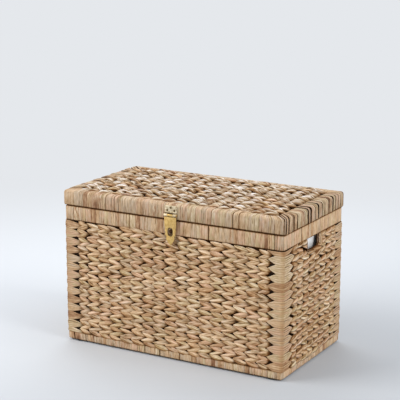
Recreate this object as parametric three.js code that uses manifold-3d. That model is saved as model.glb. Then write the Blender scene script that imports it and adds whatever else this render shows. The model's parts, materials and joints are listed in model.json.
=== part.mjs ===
// A lidded storage trunk: a wooden frame wound with water hyacinth strands, woven fields between the rails,
// a cotton liner, a lid on two back hinges and a brass hasp.
// Millimetres, +Z up. The front faces -Y, and the origin is on the floor under the trunk's middle.
import * as THREE from 'three';
import { mergeVertices } from 'three/addons/utils/BufferGeometryUtils.js';
import Module from 'manifold-3d';

const wasm = await Module();
wasm.setup();

// Overall size
const LENGTH = 700; // lid, outside, along X
const DEPTH = 380; // lid, outside, along Y
const HEIGHT = 450; // floor to the top of the lid
const LID_HEIGHT = 45;
const LID_OVERHANG = 2; // lid beyond the body on each side
const PARTING = 0.8; // lid above the body's rim

// Wooden frame and the strands wound round it
const RIM_HEIGHT = 43;
const BASE_HEIGHT = 23;
const FRAME_DEPTH = 22; // rim, base and corner columns, outside to inside
const LID_RIM_WIDTH = 38; // lid rails, outside to inside
const CORNER_WIDTH = 45; // each leg of a corner column
const WRAP = 2.5; // thickness of the wound strands
const BAND_ROUND = 3.5; // edges of the wound bands
const LID_ROUND = 9; // outer top edge of the lid
const CORNER_ROUND = 6; // outer edge of a corner column

// Woven fields, plywood bottom and liner
const PANEL_THICKNESS = 13;
const PANEL_SETBACK = 1; // woven fields behind the face of the columns
const LID_PANEL_THICKNESS = 12;
const LID_PANEL_DROP = 1.5; // woven top below the lid's rim
const HAND_HOLE_WIDTH = 80;
const HAND_HOLE_HEIGHT = 35; // down from the rim
const HAND_HOLE_ROUND = 7; // lower corners of a hand hole
const PLYWOOD = 5;
const LINER_THICKNESS = 1.5;
const LINER_DROP = 6; // liner's hem below the top of the rim

// Glides nailed under the front and back base rails
const FOOT_HEIGHT = 4;
const FOOT_RADIUS = 9;
const FOOT_CHAMFER = 1;
const FOOT_FROM_END = 36; // glide's middle from the end of the body
const NAIL_RADIUS = 1.5;
const NAIL_LENGTH = 13;

// Hasp on the lid's front and its stud on the rim
const HASP_X = 7; // middle of the hasp, a little right of the trunk's middle
const HASP_WIDTH = 37;
const HASP_PIN_DROP = 30.5; // pin below the top of the lid
const HASP_PLATE_TOP_DROP = 4.5; // plate's top edge below the top of the lid
const HASP_METAL = 1.5;
const HASP_BARREL_RADIUS = 4;
const HASP_KNUCKLE = 18; // leaf's middle knuckle, along the pin
const HASP_PLATE_ROUND = 2;
const SLOT_WIDTH = 14;
const SLOT_HEIGHT = 22;
const SCALLOP_START = 15; // first scallop above the slot's middle
const SCALLOP_PITCH = 11.5;
const SCALLOP_BITE = 3.2; // how far a scallop's curve pulls in
const SCALLOP_STEPS_IN = [0, 0.6, 2, 5]; // leaf's half width lost at each scallop's ends
const TIP_DROP = 38; // leaf's tip below the slot's middle
const TIP_SWELL = 0.7; // how full the tail is, as a share of its half width
const STUD_DROP = 32; // stud's middle below the top of the rim
const STUD_FLANGE_RADIUS = 6.5;
const STUD_FLANGE = 1;
const STUD_NECK_RADIUS = 2.8;
const STUD_HEAD_RADIUS = 4;
const STUD_HEAD = 1.8;
const STUD_CLEARANCE = 0.5; // crown behind the hanging leaf
const STUD_SHANK_RADIUS = 2;
const STUD_SHANK_LENGTH = 13;
const SCREW_SHANK_RADIUS = 1.6;
const SCREW_LENGTH = 14;
const SCREW_HEAD_RADIUS = 3;
const SCREW_HEAD = 1.2;
const TOP_SCREW_INSET = 5.5; // top screw below the plate's top edge
const LOW_SCREW_INSET = 13; // side screws below the plate's top edge
const LOW_SCREW_SPREAD = 22.6; // between the two side screws

// Butt hinges on the back, with a heel that stops the lid
const HINGE_SPACING = 440; // between the hinges' middles
const HINGE_WIDTH = 38;
const HINGE_LEAF_HEIGHT = 30;
const HINGE_LEAF_ROUND = 3;
const HINGE_METAL = 1.5;
const HINGE_BARREL_RADIUS = 3.5;
const HINGE_KNUCKLE = 14; // lid leaf's middle knuckle
const HINGE_WEB = 4.5; // height of the step from the body leaf to its knuckles
const HEEL_REACH = 7; // heel's tip from the pin
const HEEL_THICKNESS = 2.5;
const HINGE_HOLE_RADIUS = 1.8;
const HINGE_HOLE_SPREAD = 24; // between a leaf's two screw holes
const LID_OPEN = THREE.MathUtils.degToRad(105);

// Pins of the hasp and the hinges
const PIN_RADIUS = 1.5;
const PIN_HEAD_RADIUS = 2.6;
const PIN_HEAD = 1.2;

// Clearance between pieces that touch, and how round shapes are stepped
const FIT = 0.3;
const SHARPEST = 0.2; // least radius of a rounded corner
const ARC_STEPS = 2; // on a curve of an outline, and twice as many on its arcs
const METAL_STEPS = 5; // the same, on flat metal
const ROUND_STEPS = 20; // on a full circle
const HOLE_STEPS = 12;

// Levels and faces that follow from the sizes
const BODY_LENGTH = LENGTH - 2 * LID_OVERHANG;
const BODY_DEPTH = DEPTH - 2 * LID_OVERHANG;
const LID_BOTTOM = HEIGHT - LID_HEIGHT;
const RIM_TOP = LID_BOTTOM - PARTING;
const FIELD_TOP = RIM_TOP - RIM_HEIGHT;
const FIELD_BOTTOM = FOOT_HEIGHT + BASE_HEIGHT;
const PANEL_INNER = PANEL_SETBACK + PANEL_THICKNESS; // inner face of a woven field, in from the body's face
const BOTTOM_LEVEL = FIELD_BOTTOM + FIT; // underside of the plywood bottom
const QUARTER = Math.PI / 2;

const FINISHES = {
  strand: { color: 0xc2a27b, roughness: 0.75, metalness: 0 },
  weave: { color: 0xb99a70, roughness: 0.8, metalness: 0 },
  timber: { color: 0xb98d5c, roughness: 0.7, metalness: 0 },
  plywood: { color: 0xcfae7e, roughness: 0.7, metalness: 0 },
  cotton: { color: 0xdfdfdc, roughness: 0.95, metalness: 0 },
  brass: { color: 0xd0a848, roughness: 0.35, metalness: 1 },
  glide: { color: 0x1c1a18, roughness: 0.6, metalness: 0 },
};

// Adds a named piece with a material of its own.
function addPiece(parent, name, geometry, finish) {
  const mesh = new THREE.Mesh(geometry, new THREE.MeshStandardMaterial(FINISHES[finish]));
  mesh.name = name;
  parent.add(mesh);
  return mesh;
}

// A geometry with positions alone and its shared corners merged.
function welded(geometry) {
  const bare = geometry.clone();
  bare.deleteAttribute('normal');
  bare.deleteAttribute('uv');
  return mergeVertices(bare, 1e-4);
}

function toSolid(geometry) {
  const shape = welded(geometry);
  const vertProperties = new Float32Array(shape.getAttribute('position').array);
  const triVerts = new Uint32Array(shape.getIndex().array);
  return new wasm.Manifold(new wasm.Mesh({ numProp: 3, vertProperties, triVerts }));
}

function toGeometry(solid) {
  const mesh = solid.getMesh();
  const geometry = new THREE.BufferGeometry();
  geometry.setAttribute('position', new THREE.BufferAttribute(mesh.vertProperties, 3));
  geometry.setIndex(new THREE.BufferAttribute(mesh.triVerts, 1));
  geometry.computeVertexNormals();
  return geometry;
}

// One geometry joined to others, then cut by more.
function carve(first, joined, cuts) {
  let solid = toSolid(first);
  joined.forEach((geometry) => {
    solid = solid.add(toSolid(geometry));
  });
  cuts.forEach((geometry) => {
    solid = solid.subtract(toSolid(geometry));
  });
  return toGeometry(solid);
}

function block(x0, x1, y0, y1, z0, z1) {
  const geometry = new THREE.BoxGeometry(x1 - x0, y1 - y0, z1 - z0);
  return geometry.translate((x0 + x1) / 2, (y0 + y1) / 2, (z0 + z1) / 2);
}

// A cylinder along X from x0 to x1, its axis through the group's origin.
function barrel(radius, x0, x1, steps) {
  const geometry = new THREE.CylinderGeometry(radius, radius, x1 - x0, steps);
  return geometry.rotateZ(-QUARTER).translate((x0 + x1) / 2, 0, 0);
}

// A turned piece from [radius, height] points, starting and ending on its axis, which lies along +Y.
function turned(profile) {
  const points = profile.map(([radius, height]) => new THREE.Vector2(radius, height));
  return new THREE.LatheGeometry(points, HOLE_STEPS);
}

// Traces a rectangle whose corners have these radii: low right, high right, high left, low left.
function traceRect(path, x0, x1, y0, y1, radii) {
  const corners = [[x1, y0, -QUARTER], [x1, y1, 0], [x0, y1, QUARTER], [x0, y0, 2 * QUARTER]];
  corners.forEach(([x, y, start], i) => {
    const radius = Math.max(radii[i], SHARPEST);
    const centreX = x === x1 ? x - radius : x + radius;
    const centreY = y === y1 ? y - radius : y + radius;
    path.absarc(centreX, centreY, radius, start, start + QUARTER, false);
  });
  path.closePath();
  return path;
}

function roundHole(x, y, radius) {
  return new THREE.Path().absarc(x, y, radius, 0, 4 * QUARTER, true);
}

function extrude(shape, depth, curveSegments = ARC_STEPS) {
  return new THREE.ExtrudeGeometry(shape, { depth, bevelEnabled: false, curveSegments });
}

// A flat plate in the XZ plane, from y = back towards -Y by its thickness.
function plate(shape, thickness, back, steps = METAL_STEPS) {
  return extrude(shape, thickness, steps).rotateX(QUARTER).translate(0, back, 0);
}

// The four sides of a rectangle. Along each side, local X runs along it and its outer face is at local -Y.
function sidesOf(length, depth) {
  return [
    { side: 'front', turn: 0, half: length / 2, reach: depth / 2 },
    { side: 'right', turn: QUARTER, half: depth / 2, reach: length / 2 },
    { side: 'back', turn: 2 * QUARTER, half: length / 2, reach: depth / 2 },
    { side: 'left', turn: -QUARTER, half: depth / 2, reach: length / 2 },
  ];
}

function sideGroup(parent, turn) {
  const group = new THREE.Group();
  group.rotation.z = turn;
  parent.add(group);
  return group;
}

// A rail with mitred ends. Its section's x is the distance in from the outer face, and y the height.
function mitredRail(section, half, reach) {
  const geometry = extrude(section, 1);
  const position = geometry.getAttribute('position');
  for (let i = 0; i < position.count; i += 1) {
    const inset = position.getX(i);
    const end = half - inset - FIT / Math.SQRT2;
    const x = position.getZ(i) > 0.5 ? end : -end;
    position.setXYZ(i, x, inset - reach, position.getY(i));
  }
  return geometry;
}

// A ring of four mitred wooden rails, each in its sleeve of wound strands. Holes are cut in the sides named.
function addWoundRing(parent, label, sides, { width, bottom, top, topRound, holes }) {
  const radii = [BAND_ROUND, BAND_ROUND, topRound, BAND_ROUND];
  const section = (path, inset) => {
    const inner = radii.map((radius) => radius - inset);
    return traceRect(path, inset, width - inset, bottom + inset, top - inset, inner);
  };
  sides.forEach(({ side, turn, half, reach }) => {
    const group = sideGroup(parent, turn);
    const sleeve = section(new THREE.Shape(), 0);
    sleeve.holes.push(section(new THREE.Path(), WRAP));
    const core = section(new THREE.Shape(), WRAP + FIT);
    const cuts = holes[side] ?? [];
    addPiece(group, `${side}_${label}_wrap`, carve(mitredRail(sleeve, half, reach), [], cuts), 'strand');
    addPiece(group, `${side}_${label}_rail`, carve(mitredRail(core, half, reach), [], cuts), 'timber');
  });
}

// An angle section with its outer corner at the origin, its faces drawn in by an inset.
function traceAngle(path, inset) {
  const radius = Math.max(CORNER_ROUND - inset, SHARPEST);
  const end = CORNER_WIDTH - inset;
  const inner = FRAME_DEPTH - inset;
  path.absarc(inset + radius, inset + radius, radius, 2 * QUARTER, 3 * QUARTER, false);
  path.lineTo(end, inset);
  path.lineTo(end, inner);
  path.lineTo(inner, inner);
  path.lineTo(inner, end);
  path.lineTo(inset, end);
  path.closePath();
  return path;
}

// Four corner columns: a wooden angle post in its sleeve of level strands.
function addCornerColumns(parent) {
  const height = FIELD_TOP - FIELD_BOTTOM - 2 * FIT;
  const corners = [
    ['front_left', -1, -1],
    ['front_right', 1, -1],
    ['back_right', 1, 1],
    ['back_left', -1, 1],
  ];
  corners.forEach(([label, x, y], i) => {
    const column = sideGroup(parent, i * QUARTER);
    column.position.set((x * BODY_LENGTH) / 2, (y * BODY_DEPTH) / 2, FIELD_BOTTOM + FIT);
    const sleeve = traceAngle(new THREE.Shape(), 0);
    sleeve.holes.push(traceAngle(new THREE.Path(), WRAP));
    const core = traceAngle(new THREE.Shape(), WRAP + FIT);
    addPiece(column, `${label}_corner_wrap`, extrude(sleeve, height), 'strand');
    addPiece(column, `${label}_corner_post`, extrude(core, height), 'timber');
  });
}

// Outline of a short side's woven field, with the hand hole let in from its top edge.
function handHoleField(halfWidth, bottom, top) {
  const half = HAND_HOLE_WIDTH / 2;
  const sill = FIELD_TOP - HAND_HOLE_HEIGHT;
  const radius = HAND_HOLE_ROUND;
  const shape = new THREE.Shape();
  shape.moveTo(-halfWidth, bottom);
  shape.lineTo(halfWidth, bottom);
  shape.lineTo(halfWidth, top);
  shape.lineTo(half, top);
  shape.absarc(half - radius, sill + radius, radius, 0, -QUARTER, true);
  shape.absarc(radius - half, sill + radius, radius, -QUARTER, -2 * QUARTER, true);
  shape.lineTo(-half, top);
  shape.lineTo(-halfWidth, top);
  shape.closePath();
  return shape;
}

// The woven fields between the columns, the rim and the base.
function addWovenFields(parent) {
  const bottom = FIELD_BOTTOM + FIT;
  const top = FIELD_TOP - FIT;
  sidesOf(BODY_LENGTH, BODY_DEPTH).forEach(({ side, turn, half, reach }) => {
    const halfWidth = half - CORNER_WIDTH - FIT;
    const outer = PANEL_SETBACK - reach;
    const geometry = side === 'left' || side === 'right'
      ? plate(handHoleField(halfWidth, bottom, top), PANEL_THICKNESS, outer + PANEL_THICKNESS, ARC_STEPS)
      : block(-halfWidth, halfWidth, outer, outer + PANEL_THICKNESS, bottom, top);
    addPiece(sideGroup(parent, turn), `${side}_panel`, geometry, 'weave');
  });
}

// The plywood bottom lies on the base rails, notched round the corner columns.
function addBottom(parent) {
  const edge = { x: BODY_LENGTH / 2 - PANEL_INNER - FIT, y: BODY_DEPTH / 2 - PANEL_INNER - FIT };
  const notch = { x: BODY_LENGTH / 2 - CORNER_WIDTH - FIT, y: BODY_DEPTH / 2 - CORNER_WIDTH - FIT };
  const post = { x: BODY_LENGTH / 2 - FRAME_DEPTH - FIT, y: BODY_DEPTH / 2 - FRAME_DEPTH - FIT };
  const quarter = [
    [edge.x, notch.y],
    [post.x, notch.y],
    [post.x, post.y],
    [notch.x, post.y],
    [notch.x, edge.y],
  ];
  const mirrored = (x, y, points) => points.map(([px, py]) => new THREE.Vector2(x * px, y * py));
  const back = [...quarter].reverse();
  const outline = [
    ...mirrored(1, 1, quarter),
    ...mirrored(-1, 1, back),
    ...mirrored(-1, -1, quarter),
    ...mirrored(1, -1, back),
  ];
  const geometry = extrude(new THREE.Shape(outline), PLYWOOD).translate(0, 0, BOTTOM_LEVEL);
  addPiece(parent, 'base_panel', geometry, 'plywood');
}

// The cotton liner: an open-topped box inside the frame, standing on the plywood.
function addLiner(parent) {
  const x = BODY_LENGTH / 2 - FRAME_DEPTH - FIT;
  const y = BODY_DEPTH / 2 - FRAME_DEPTH - FIT;
  const bottom = BOTTOM_LEVEL + PLYWOOD + FIT;
  const top = RIM_TOP - LINER_DROP;
  const wall = LINER_THICKNESS;
  const inside = block(wall - x, x - wall, wall - y, y - wall, bottom + wall, RIM_TOP);
  addPiece(parent, 'liner', carve(block(-x, x, -y, y, bottom, top), [], [inside]), 'cotton');
}

// A glide's nail, from the underside of the base band up, with a clearance round it.
function nailProfile(clearance, foot) {
  const top = FOOT_HEIGHT + NAIL_LENGTH + clearance;
  const nail = NAIL_RADIUS + clearance;
  const under = FOOT_HEIGHT - FIT;
  const disc = [[0, 0], [FOOT_RADIUS - FOOT_CHAMFER, 0], [FOOT_RADIUS, FOOT_CHAMFER], [FOOT_RADIUS, under]];
  const stem = [[nail, under], [nail, top], [0, top]];
  return foot ? [...disc, ...stem] : [[0, under], ...stem];
}

function footPlaces() {
  const x = BODY_LENGTH / 2 - FOOT_FROM_END;
  const y = BODY_DEPTH / 2 - FRAME_DEPTH / 2;
  return [['front_left', -x, -y], ['front_right', x, -y], ['back_right', x, y], ['back_left', -x, y]];
}

// Nail holes along one long base rail, in the side's own frame.
function nailHoles() {
  const front = footPlaces().filter(([, , y]) => y < 0);
  return front.map(([, x, y]) => turned(nailProfile(FIT, false)).rotateX(QUARTER).translate(x, y, 0));
}

function addFeet(parent) {
  footPlaces().forEach(([label, x, y]) => {
    const foot = addPiece(parent, `${label}_foot`, turned(nailProfile(0, true)), 'glide');
    foot.rotation.x = QUARTER;
    foot.position.set(x, y, 0);
  });
}

// Where the hasp's pin and stud are, and the leaf's half width
const HASP_PIN = { y: -(DEPTH / 2 + FIT + HASP_BARREL_RADIUS), z: HEIGHT - HASP_PIN_DROP };
const STUD_Z = RIM_TOP - STUD_DROP;
const HASP_HALF = HASP_WIDTH / 2;
const HASP_PLATE_TOP = HASP_PIN_DROP - HASP_PLATE_TOP_DROP; // above the pin
const HASP_FLAT_START = HASP_BARREL_RADIUS + 2 * FIT; // where the flat metal starts, off the pin
const PLATE_BACK = HASP_BARREL_RADIUS; // plate's back, behind the pin

// Screws through the hasp's plate, as x and z from the pin
function haspScrewPlaces() {
  const low = HASP_PLATE_TOP - LOW_SCREW_INSET;
  return [
    ['top', 0, HASP_PLATE_TOP - TOP_SCREW_INSET],
    ['left', -LOW_SCREW_SPREAD / 2, low],
    ['right', LOW_SCREW_SPREAD / 2, low],
  ];
}

// A screw along +Y with its head's seat at y = 0.
function screwProfile() {
  const shank = SCREW_SHANK_RADIUS;
  const head = SCREW_HEAD_RADIUS;
  return [[0, -SCREW_HEAD], [head / 2, -SCREW_HEAD], [head, -SCREW_HEAD / 2], [head, 0], [shank, 0],
    [shank, SCREW_LENGTH - shank], [0, SCREW_LENGTH]];
}

function haspScrewHoles() {
  const start = HASP_PIN.y + PLATE_BACK - HASP_METAL - FIT;
  const radius = SCREW_SHANK_RADIUS + FIT;
  const profile = [[0, 0], [radius, 0], [radius, SCREW_LENGTH + FIT], [0, SCREW_LENGTH + FIT]];
  return haspScrewPlaces().map(([, x, z]) => turned(profile).translate(HASP_X + x, start, HASP_PIN.z + z));
}

// The plate on the lid, with its two outer knuckles and three screw holes.
function haspPlate() {
  const shape = new THREE.Shape();
  const radii = [SHARPEST, HASP_PLATE_ROUND, HASP_PLATE_ROUND, SHARPEST];
  traceRect(shape, -HASP_HALF, HASP_HALF, HASP_FLAT_START, HASP_PLATE_TOP, radii);
  haspScrewPlaces().forEach(([, x, z]) => shape.holes.push(roundHole(x, z, SCREW_SHANK_RADIUS + FIT)));
  const inner = HASP_KNUCKLE / 2 + FIT;
  const knuckles = [[-HASP_HALF, -inner], [inner, HASP_HALF]];
  const barrels = knuckles.map(([x0, x1]) => barrel(HASP_BARREL_RADIUS, x0, x1, ROUND_STEPS));
  const front = PLATE_BACK - HASP_METAL;
  const tabs = knuckles.map(([x0, x1]) => block(x0, x1, front, PLATE_BACK, 0, HASP_FLAT_START + SHARPEST));
  const bore = barrel(PIN_RADIUS + FIT, -HASP_WIDTH, HASP_WIDTH, HOLE_STEPS);
  return carve(plate(shape, HASP_METAL, PLATE_BACK), [...barrels, ...tabs], [bore]);
}

// The hanging leaf's outline: straight to the shoulders, three scallops each side, and a tail drawn to a tip.
function haspLeafOutline(slot) {
  const shape = new THREE.Shape();
  const heights = SCALLOP_STEPS_IN.map((step, i) => slot + SCALLOP_START - i * SCALLOP_PITCH);
  const widths = SCALLOP_STEPS_IN.map((step) => HASP_HALF - step);
  const last = widths.length - 1;
  const tip = slot - TIP_DROP;
  const tail = { x: widths[last] * TIP_SWELL, z: (heights[last] + tip) / 2 };
  const bite = (i) => Math.min(widths[i], widths[i + 1]) - SCALLOP_BITE;
  shape.moveTo(HASP_HALF, -HASP_FLAT_START);
  shape.lineTo(-HASP_HALF, -HASP_FLAT_START);
  shape.lineTo(-widths[0], heights[0]);
  for (let i = 0; i < last; i += 1) {
    shape.quadraticCurveTo(-bite(i), (heights[i] + heights[i + 1]) / 2, -widths[i + 1], heights[i + 1]);
  }
  shape.quadraticCurveTo(-tail.x, tail.z, 0, tip);
  shape.quadraticCurveTo(tail.x, tail.z, widths[last], heights[last]);
  for (let i = last; i > 0; i -= 1) {
    shape.quadraticCurveTo(bite(i - 1), (heights[i] + heights[i - 1]) / 2, widths[i - 1], heights[i - 1]);
  }
  shape.closePath();
  return shape;
}

// The leaf hangs in the plane of its pin, its slot in front of the stud.
function haspLeaf() {
  const slot = STUD_Z - HASP_PIN.z;
  const shape = haspLeafOutline(slot);
  const radius = SLOT_WIDTH / 2;
  const radii = [radius, radius, radius, radius];
  const half = SLOT_HEIGHT / 2;
  shape.holes.push(traceRect(new THREE.Path(), -radius, radius, slot - half, slot + half, radii));
  const knuckle = HASP_KNUCKLE / 2;
  const middle = barrel(HASP_BARREL_RADIUS, -knuckle, knuckle, ROUND_STEPS);
  const tab = block(-knuckle, knuckle, -HASP_METAL / 2, HASP_METAL / 2, -HASP_FLAT_START - SHARPEST, 0);
  const bore = barrel(PIN_RADIUS + FIT, -HASP_WIDTH, HASP_WIDTH, HOLE_STEPS);
  return carve(plate(shape, HASP_METAL, HASP_METAL / 2), [middle, tab], [bore]);
}

// A pin along X with a small head at each end of its barrel.
function pinAlongX(barrelLength) {
  const seat = barrelLength / 2 + FIT;
  const end = seat + PIN_HEAD;
  const half = [[0, -end], [PIN_HEAD_RADIUS, -end], [PIN_HEAD_RADIUS, -seat], [PIN_RADIUS, -seat]];
  const other = [[PIN_RADIUS, seat], [PIN_HEAD_RADIUS, seat], [PIN_HEAD_RADIUS, end], [0, end]];
  return turned([...half, ...other]).rotateZ(-QUARTER);
}

// The stud's profile along +Y, into the rail: crown, head, neck, flange on the rim, shank.
function studProfile(height) {
  return [[0, -height], [STUD_HEAD_RADIUS / 2, -height], [STUD_HEAD_RADIUS, STUD_HEAD / 2 - height],
    [STUD_HEAD_RADIUS, STUD_HEAD - height], [STUD_NECK_RADIUS, STUD_HEAD - height],
    [STUD_NECK_RADIUS, -STUD_FLANGE], [STUD_FLANGE_RADIUS, -STUD_FLANGE], [STUD_FLANGE_RADIUS, 0],
    [STUD_SHANK_RADIUS, 0], [STUD_SHANK_RADIUS, STUD_SHANK_LENGTH], [0, STUD_SHANK_LENGTH]];
}

function studHole() {
  const radius = STUD_SHANK_RADIUS + FIT;
  const end = STUD_SHANK_LENGTH + FIT;
  const profile = [[0, 0], [radius, 0], [radius, end], [0, end]];
  return turned(profile).translate(HASP_X, -BODY_DEPTH / 2 - FIT, STUD_Z);
}

function addStud(parent) {
  const seat = -BODY_DEPTH / 2 - FIT;
  const leafBack = HASP_PIN.y + HASP_METAL / 2;
  const stud = addPiece(parent, 'hasp_stud', turned(studProfile(seat - leafBack - STUD_CLEARANCE)), 'brass');
  stud.position.set(HASP_X, seat, STUD_Z);
}

function addHasp(lid) {
  const group = new THREE.Group();
  group.position.set(HASP_X, HASP_PIN.y, HASP_PIN.z);
  lid.add(group);
  addPiece(group, 'hasp_plate', haspPlate(), 'brass');
  addPiece(group, 'hasp_leaf', haspLeaf(), 'brass');
  addPiece(group, 'hasp_pin', pinAlongX(HASP_WIDTH), 'brass');
  haspScrewPlaces().forEach(([label, x, z]) => {
    const screw = addPiece(group, `hasp_screw_${label}`, turned(screwProfile()), 'brass');
    screw.position.set(x, PLATE_BACK - HASP_METAL - FIT, z);
  });
}

// Where the hinges' pins are, and the backs of their leaves measured from the pin
const HINGE_PIN = { y: DEPTH / 2 + FIT + HINGE_BARREL_RADIUS, z: RIM_TOP + PARTING / 2 };
const LID_LEAF_BACK = -HINGE_BARREL_RADIUS;
const BODY_LEAF_BACK = LID_LEAF_BACK - LID_OVERHANG;
const LEAF_EDGE = HINGE_BARREL_RADIUS + FIT; // edge of the lid leaf above the pin

// A hinge leaf's outline with its two screw holes.
function hingeLeafOutline(bottom, top) {
  const half = HINGE_WIDTH / 2;
  const round = [HINGE_LEAF_ROUND, HINGE_LEAF_ROUND, HINGE_LEAF_ROUND, HINGE_LEAF_ROUND];
  const shape = traceRect(new THREE.Shape(), -half, half, bottom, top, round);
  const middle = (bottom + top) / 2;
  [-HINGE_HOLE_SPREAD / 2, HINGE_HOLE_SPREAD / 2].forEach((x) => {
    shape.holes.push(roundHole(x, middle, HINGE_HOLE_RADIUS));
  });
  return shape;
}

// The lid's leaf: its middle knuckle carries a heel that meets the body's leaf when the lid is open.
function hingeLidLeaf() {
  const knuckle = HINGE_KNUCKLE / 2;
  const front = LID_LEAF_BACK + HINGE_METAL;
  const bodyFace = -(BODY_LEAF_BACK + HINGE_METAL) - FIT;
  const halfHeel = HEEL_THICKNESS / 2;
  const stop = Math.acos(bodyFace / Math.hypot(HEEL_REACH, halfHeel)) + Math.atan2(halfHeel, HEEL_REACH);
  const outline = hingeLeafOutline(LEAF_EDGE, LEAF_EDGE + HINGE_LEAF_HEIGHT);
  const heel = block(-knuckle, knuckle, 0, HEEL_REACH, -halfHeel, halfHeel);
  heel.rotateX(stop + LID_OPEN - 2 * QUARTER);
  const tab = block(-knuckle, knuckle, LID_LEAF_BACK, front, 0, LEAF_EDGE + HINGE_LEAF_ROUND);
  const middle = barrel(HINGE_BARREL_RADIUS, -knuckle, knuckle, ROUND_STEPS);
  const bore = barrel(PIN_RADIUS + FIT, -HINGE_WIDTH, HINGE_WIDTH, HOLE_STEPS);
  return carve(plate(outline, HINGE_METAL, front), [middle, tab, heel], [bore]);
}

// The body's leaf: two outer knuckles on a step that brings them out past the lid's overhang.
function hingeBodyLeaf() {
  const inner = HINGE_KNUCKLE / 2 + FIT;
  const half = HINGE_WIDTH / 2;
  const knuckles = [[-half, -inner], [inner, half]];
  const edge = -PARTING / 2 - FIT;
  const outline = hingeLeafOutline(edge - HINGE_LEAF_HEIGHT, edge);
  const front = BODY_LEAF_BACK + HINGE_METAL;
  const barrels = knuckles.map(([x0, x1]) => barrel(HINGE_BARREL_RADIUS, x0, x1, ROUND_STEPS));
  const steps = knuckles.map(([x0, x1]) => block(x0, x1, BODY_LEAF_BACK, 0, edge - HINGE_WEB, edge));
  const bore = barrel(PIN_RADIUS + FIT, -HINGE_WIDTH, HINGE_WIDTH, HOLE_STEPS);
  return carve(plate(outline, HINGE_METAL, front), [...barrels, ...steps], [bore]);
}

function addHinges(body, lid) {
  [['left', -HINGE_SPACING / 2], ['right', HINGE_SPACING / 2]].forEach(([label, x]) => {
    const pieces = [
      [lid, 'lid_leaf', hingeLidLeaf()],
      [body, 'body_leaf', hingeBodyLeaf()],
      [body, 'pin', pinAlongX(HINGE_WIDTH)],
    ];
    pieces.forEach(([parent, part, geometry]) => {
      addPiece(parent, `${label}_hinge_${part}`, geometry, 'brass').position.set(x, HINGE_PIN.y, HINGE_PIN.z);
    });
  });
}

// The woven top between the lid's rails.
function addLidField(lid) {
  const x = LENGTH / 2 - LID_RIM_WIDTH - FIT;
  const y = DEPTH / 2 - LID_RIM_WIDTH - FIT;
  const top = HEIGHT - LID_PANEL_DROP;
  addPiece(lid, 'lid_panel', block(-x, x, -y, y, top - LID_PANEL_THICKNESS, top), 'weave');
}

const trunk = new THREE.Group();
const body = new THREE.Group();
const lid = new THREE.Group();
trunk.add(body, lid);

const bodySides = sidesOf(BODY_LENGTH, BODY_DEPTH);
addWoundRing(body, 'base', bodySides, {
  width: FRAME_DEPTH,
  bottom: FOOT_HEIGHT,
  top: FIELD_BOTTOM,
  topRound: BAND_ROUND,
  holes: { front: nailHoles(), back: nailHoles() },
});
addWoundRing(body, 'rim', bodySides, {
  width: FRAME_DEPTH,
  bottom: FIELD_TOP,
  top: RIM_TOP,
  topRound: BAND_ROUND,
  holes: { front: [studHole()] },
});
addCornerColumns(body);
addWovenFields(body);
addBottom(body);
addLiner(body);
addFeet(body);
addStud(body);

addWoundRing(lid, 'lid', sidesOf(LENGTH, DEPTH), {
  width: LID_RIM_WIDTH,
  bottom: LID_BOTTOM,
  top: HEIGHT,
  topRound: LID_ROUND,
  holes: { front: haspScrewHoles() },
});
addLidField(lid);
addHasp(lid);
addHinges(body, lid);

export default trunk;
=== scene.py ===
"""A woven storage trunk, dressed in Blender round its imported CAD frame.

The frame gives every size and place. Strands of water hyacinth are laid over it one by one: twined rows on
the walls and the lid, level strands round the corner columns and flat strips wound round the rails. The brass
is a bevelled copy of the frame's own metal, and a sewn cotton liner hangs inside. Sizes are in millimetres,
and become metres as a mesh is made. The front faces -Y.
"""
from __future__ import annotations

import json
import logging
import math
from collections.abc import Callable
from dataclasses import dataclass
from enum import Enum

import bpy
import numpy as np
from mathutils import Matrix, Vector

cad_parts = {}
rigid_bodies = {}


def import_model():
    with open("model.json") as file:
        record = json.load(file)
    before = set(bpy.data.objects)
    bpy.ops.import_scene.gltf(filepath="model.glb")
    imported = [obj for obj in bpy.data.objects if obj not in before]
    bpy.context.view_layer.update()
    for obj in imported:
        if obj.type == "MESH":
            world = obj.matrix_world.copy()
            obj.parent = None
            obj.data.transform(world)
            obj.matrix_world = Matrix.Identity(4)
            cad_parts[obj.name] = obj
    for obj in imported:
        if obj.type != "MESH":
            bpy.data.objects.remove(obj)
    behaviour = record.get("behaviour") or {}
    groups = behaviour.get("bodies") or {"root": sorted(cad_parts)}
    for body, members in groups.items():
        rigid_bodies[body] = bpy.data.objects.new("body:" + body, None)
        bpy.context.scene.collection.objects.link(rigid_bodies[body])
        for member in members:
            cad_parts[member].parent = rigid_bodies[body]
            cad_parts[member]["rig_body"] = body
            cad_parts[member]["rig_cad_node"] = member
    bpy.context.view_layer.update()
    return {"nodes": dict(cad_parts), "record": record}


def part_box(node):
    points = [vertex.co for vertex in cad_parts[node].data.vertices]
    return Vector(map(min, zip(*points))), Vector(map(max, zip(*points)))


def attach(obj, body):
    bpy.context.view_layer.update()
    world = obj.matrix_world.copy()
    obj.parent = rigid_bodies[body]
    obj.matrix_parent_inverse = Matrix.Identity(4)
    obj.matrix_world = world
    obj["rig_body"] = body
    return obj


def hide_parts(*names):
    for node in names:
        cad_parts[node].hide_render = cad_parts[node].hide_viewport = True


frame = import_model()

LOG = logging.getLogger("trunk")
MM = 0.001
Colour = tuple[float, float, float, float]
Socket = bpy.types.NodeSocket
Array = np.ndarray
Floats = tuple[float, ...]
Pair = tuple[float, float]


class Body(Enum):
    """The bodies of the frame that pieces ride on."""

    CHEST = "chest"
    LID = "lid"
    HASP = "hasp"


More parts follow.
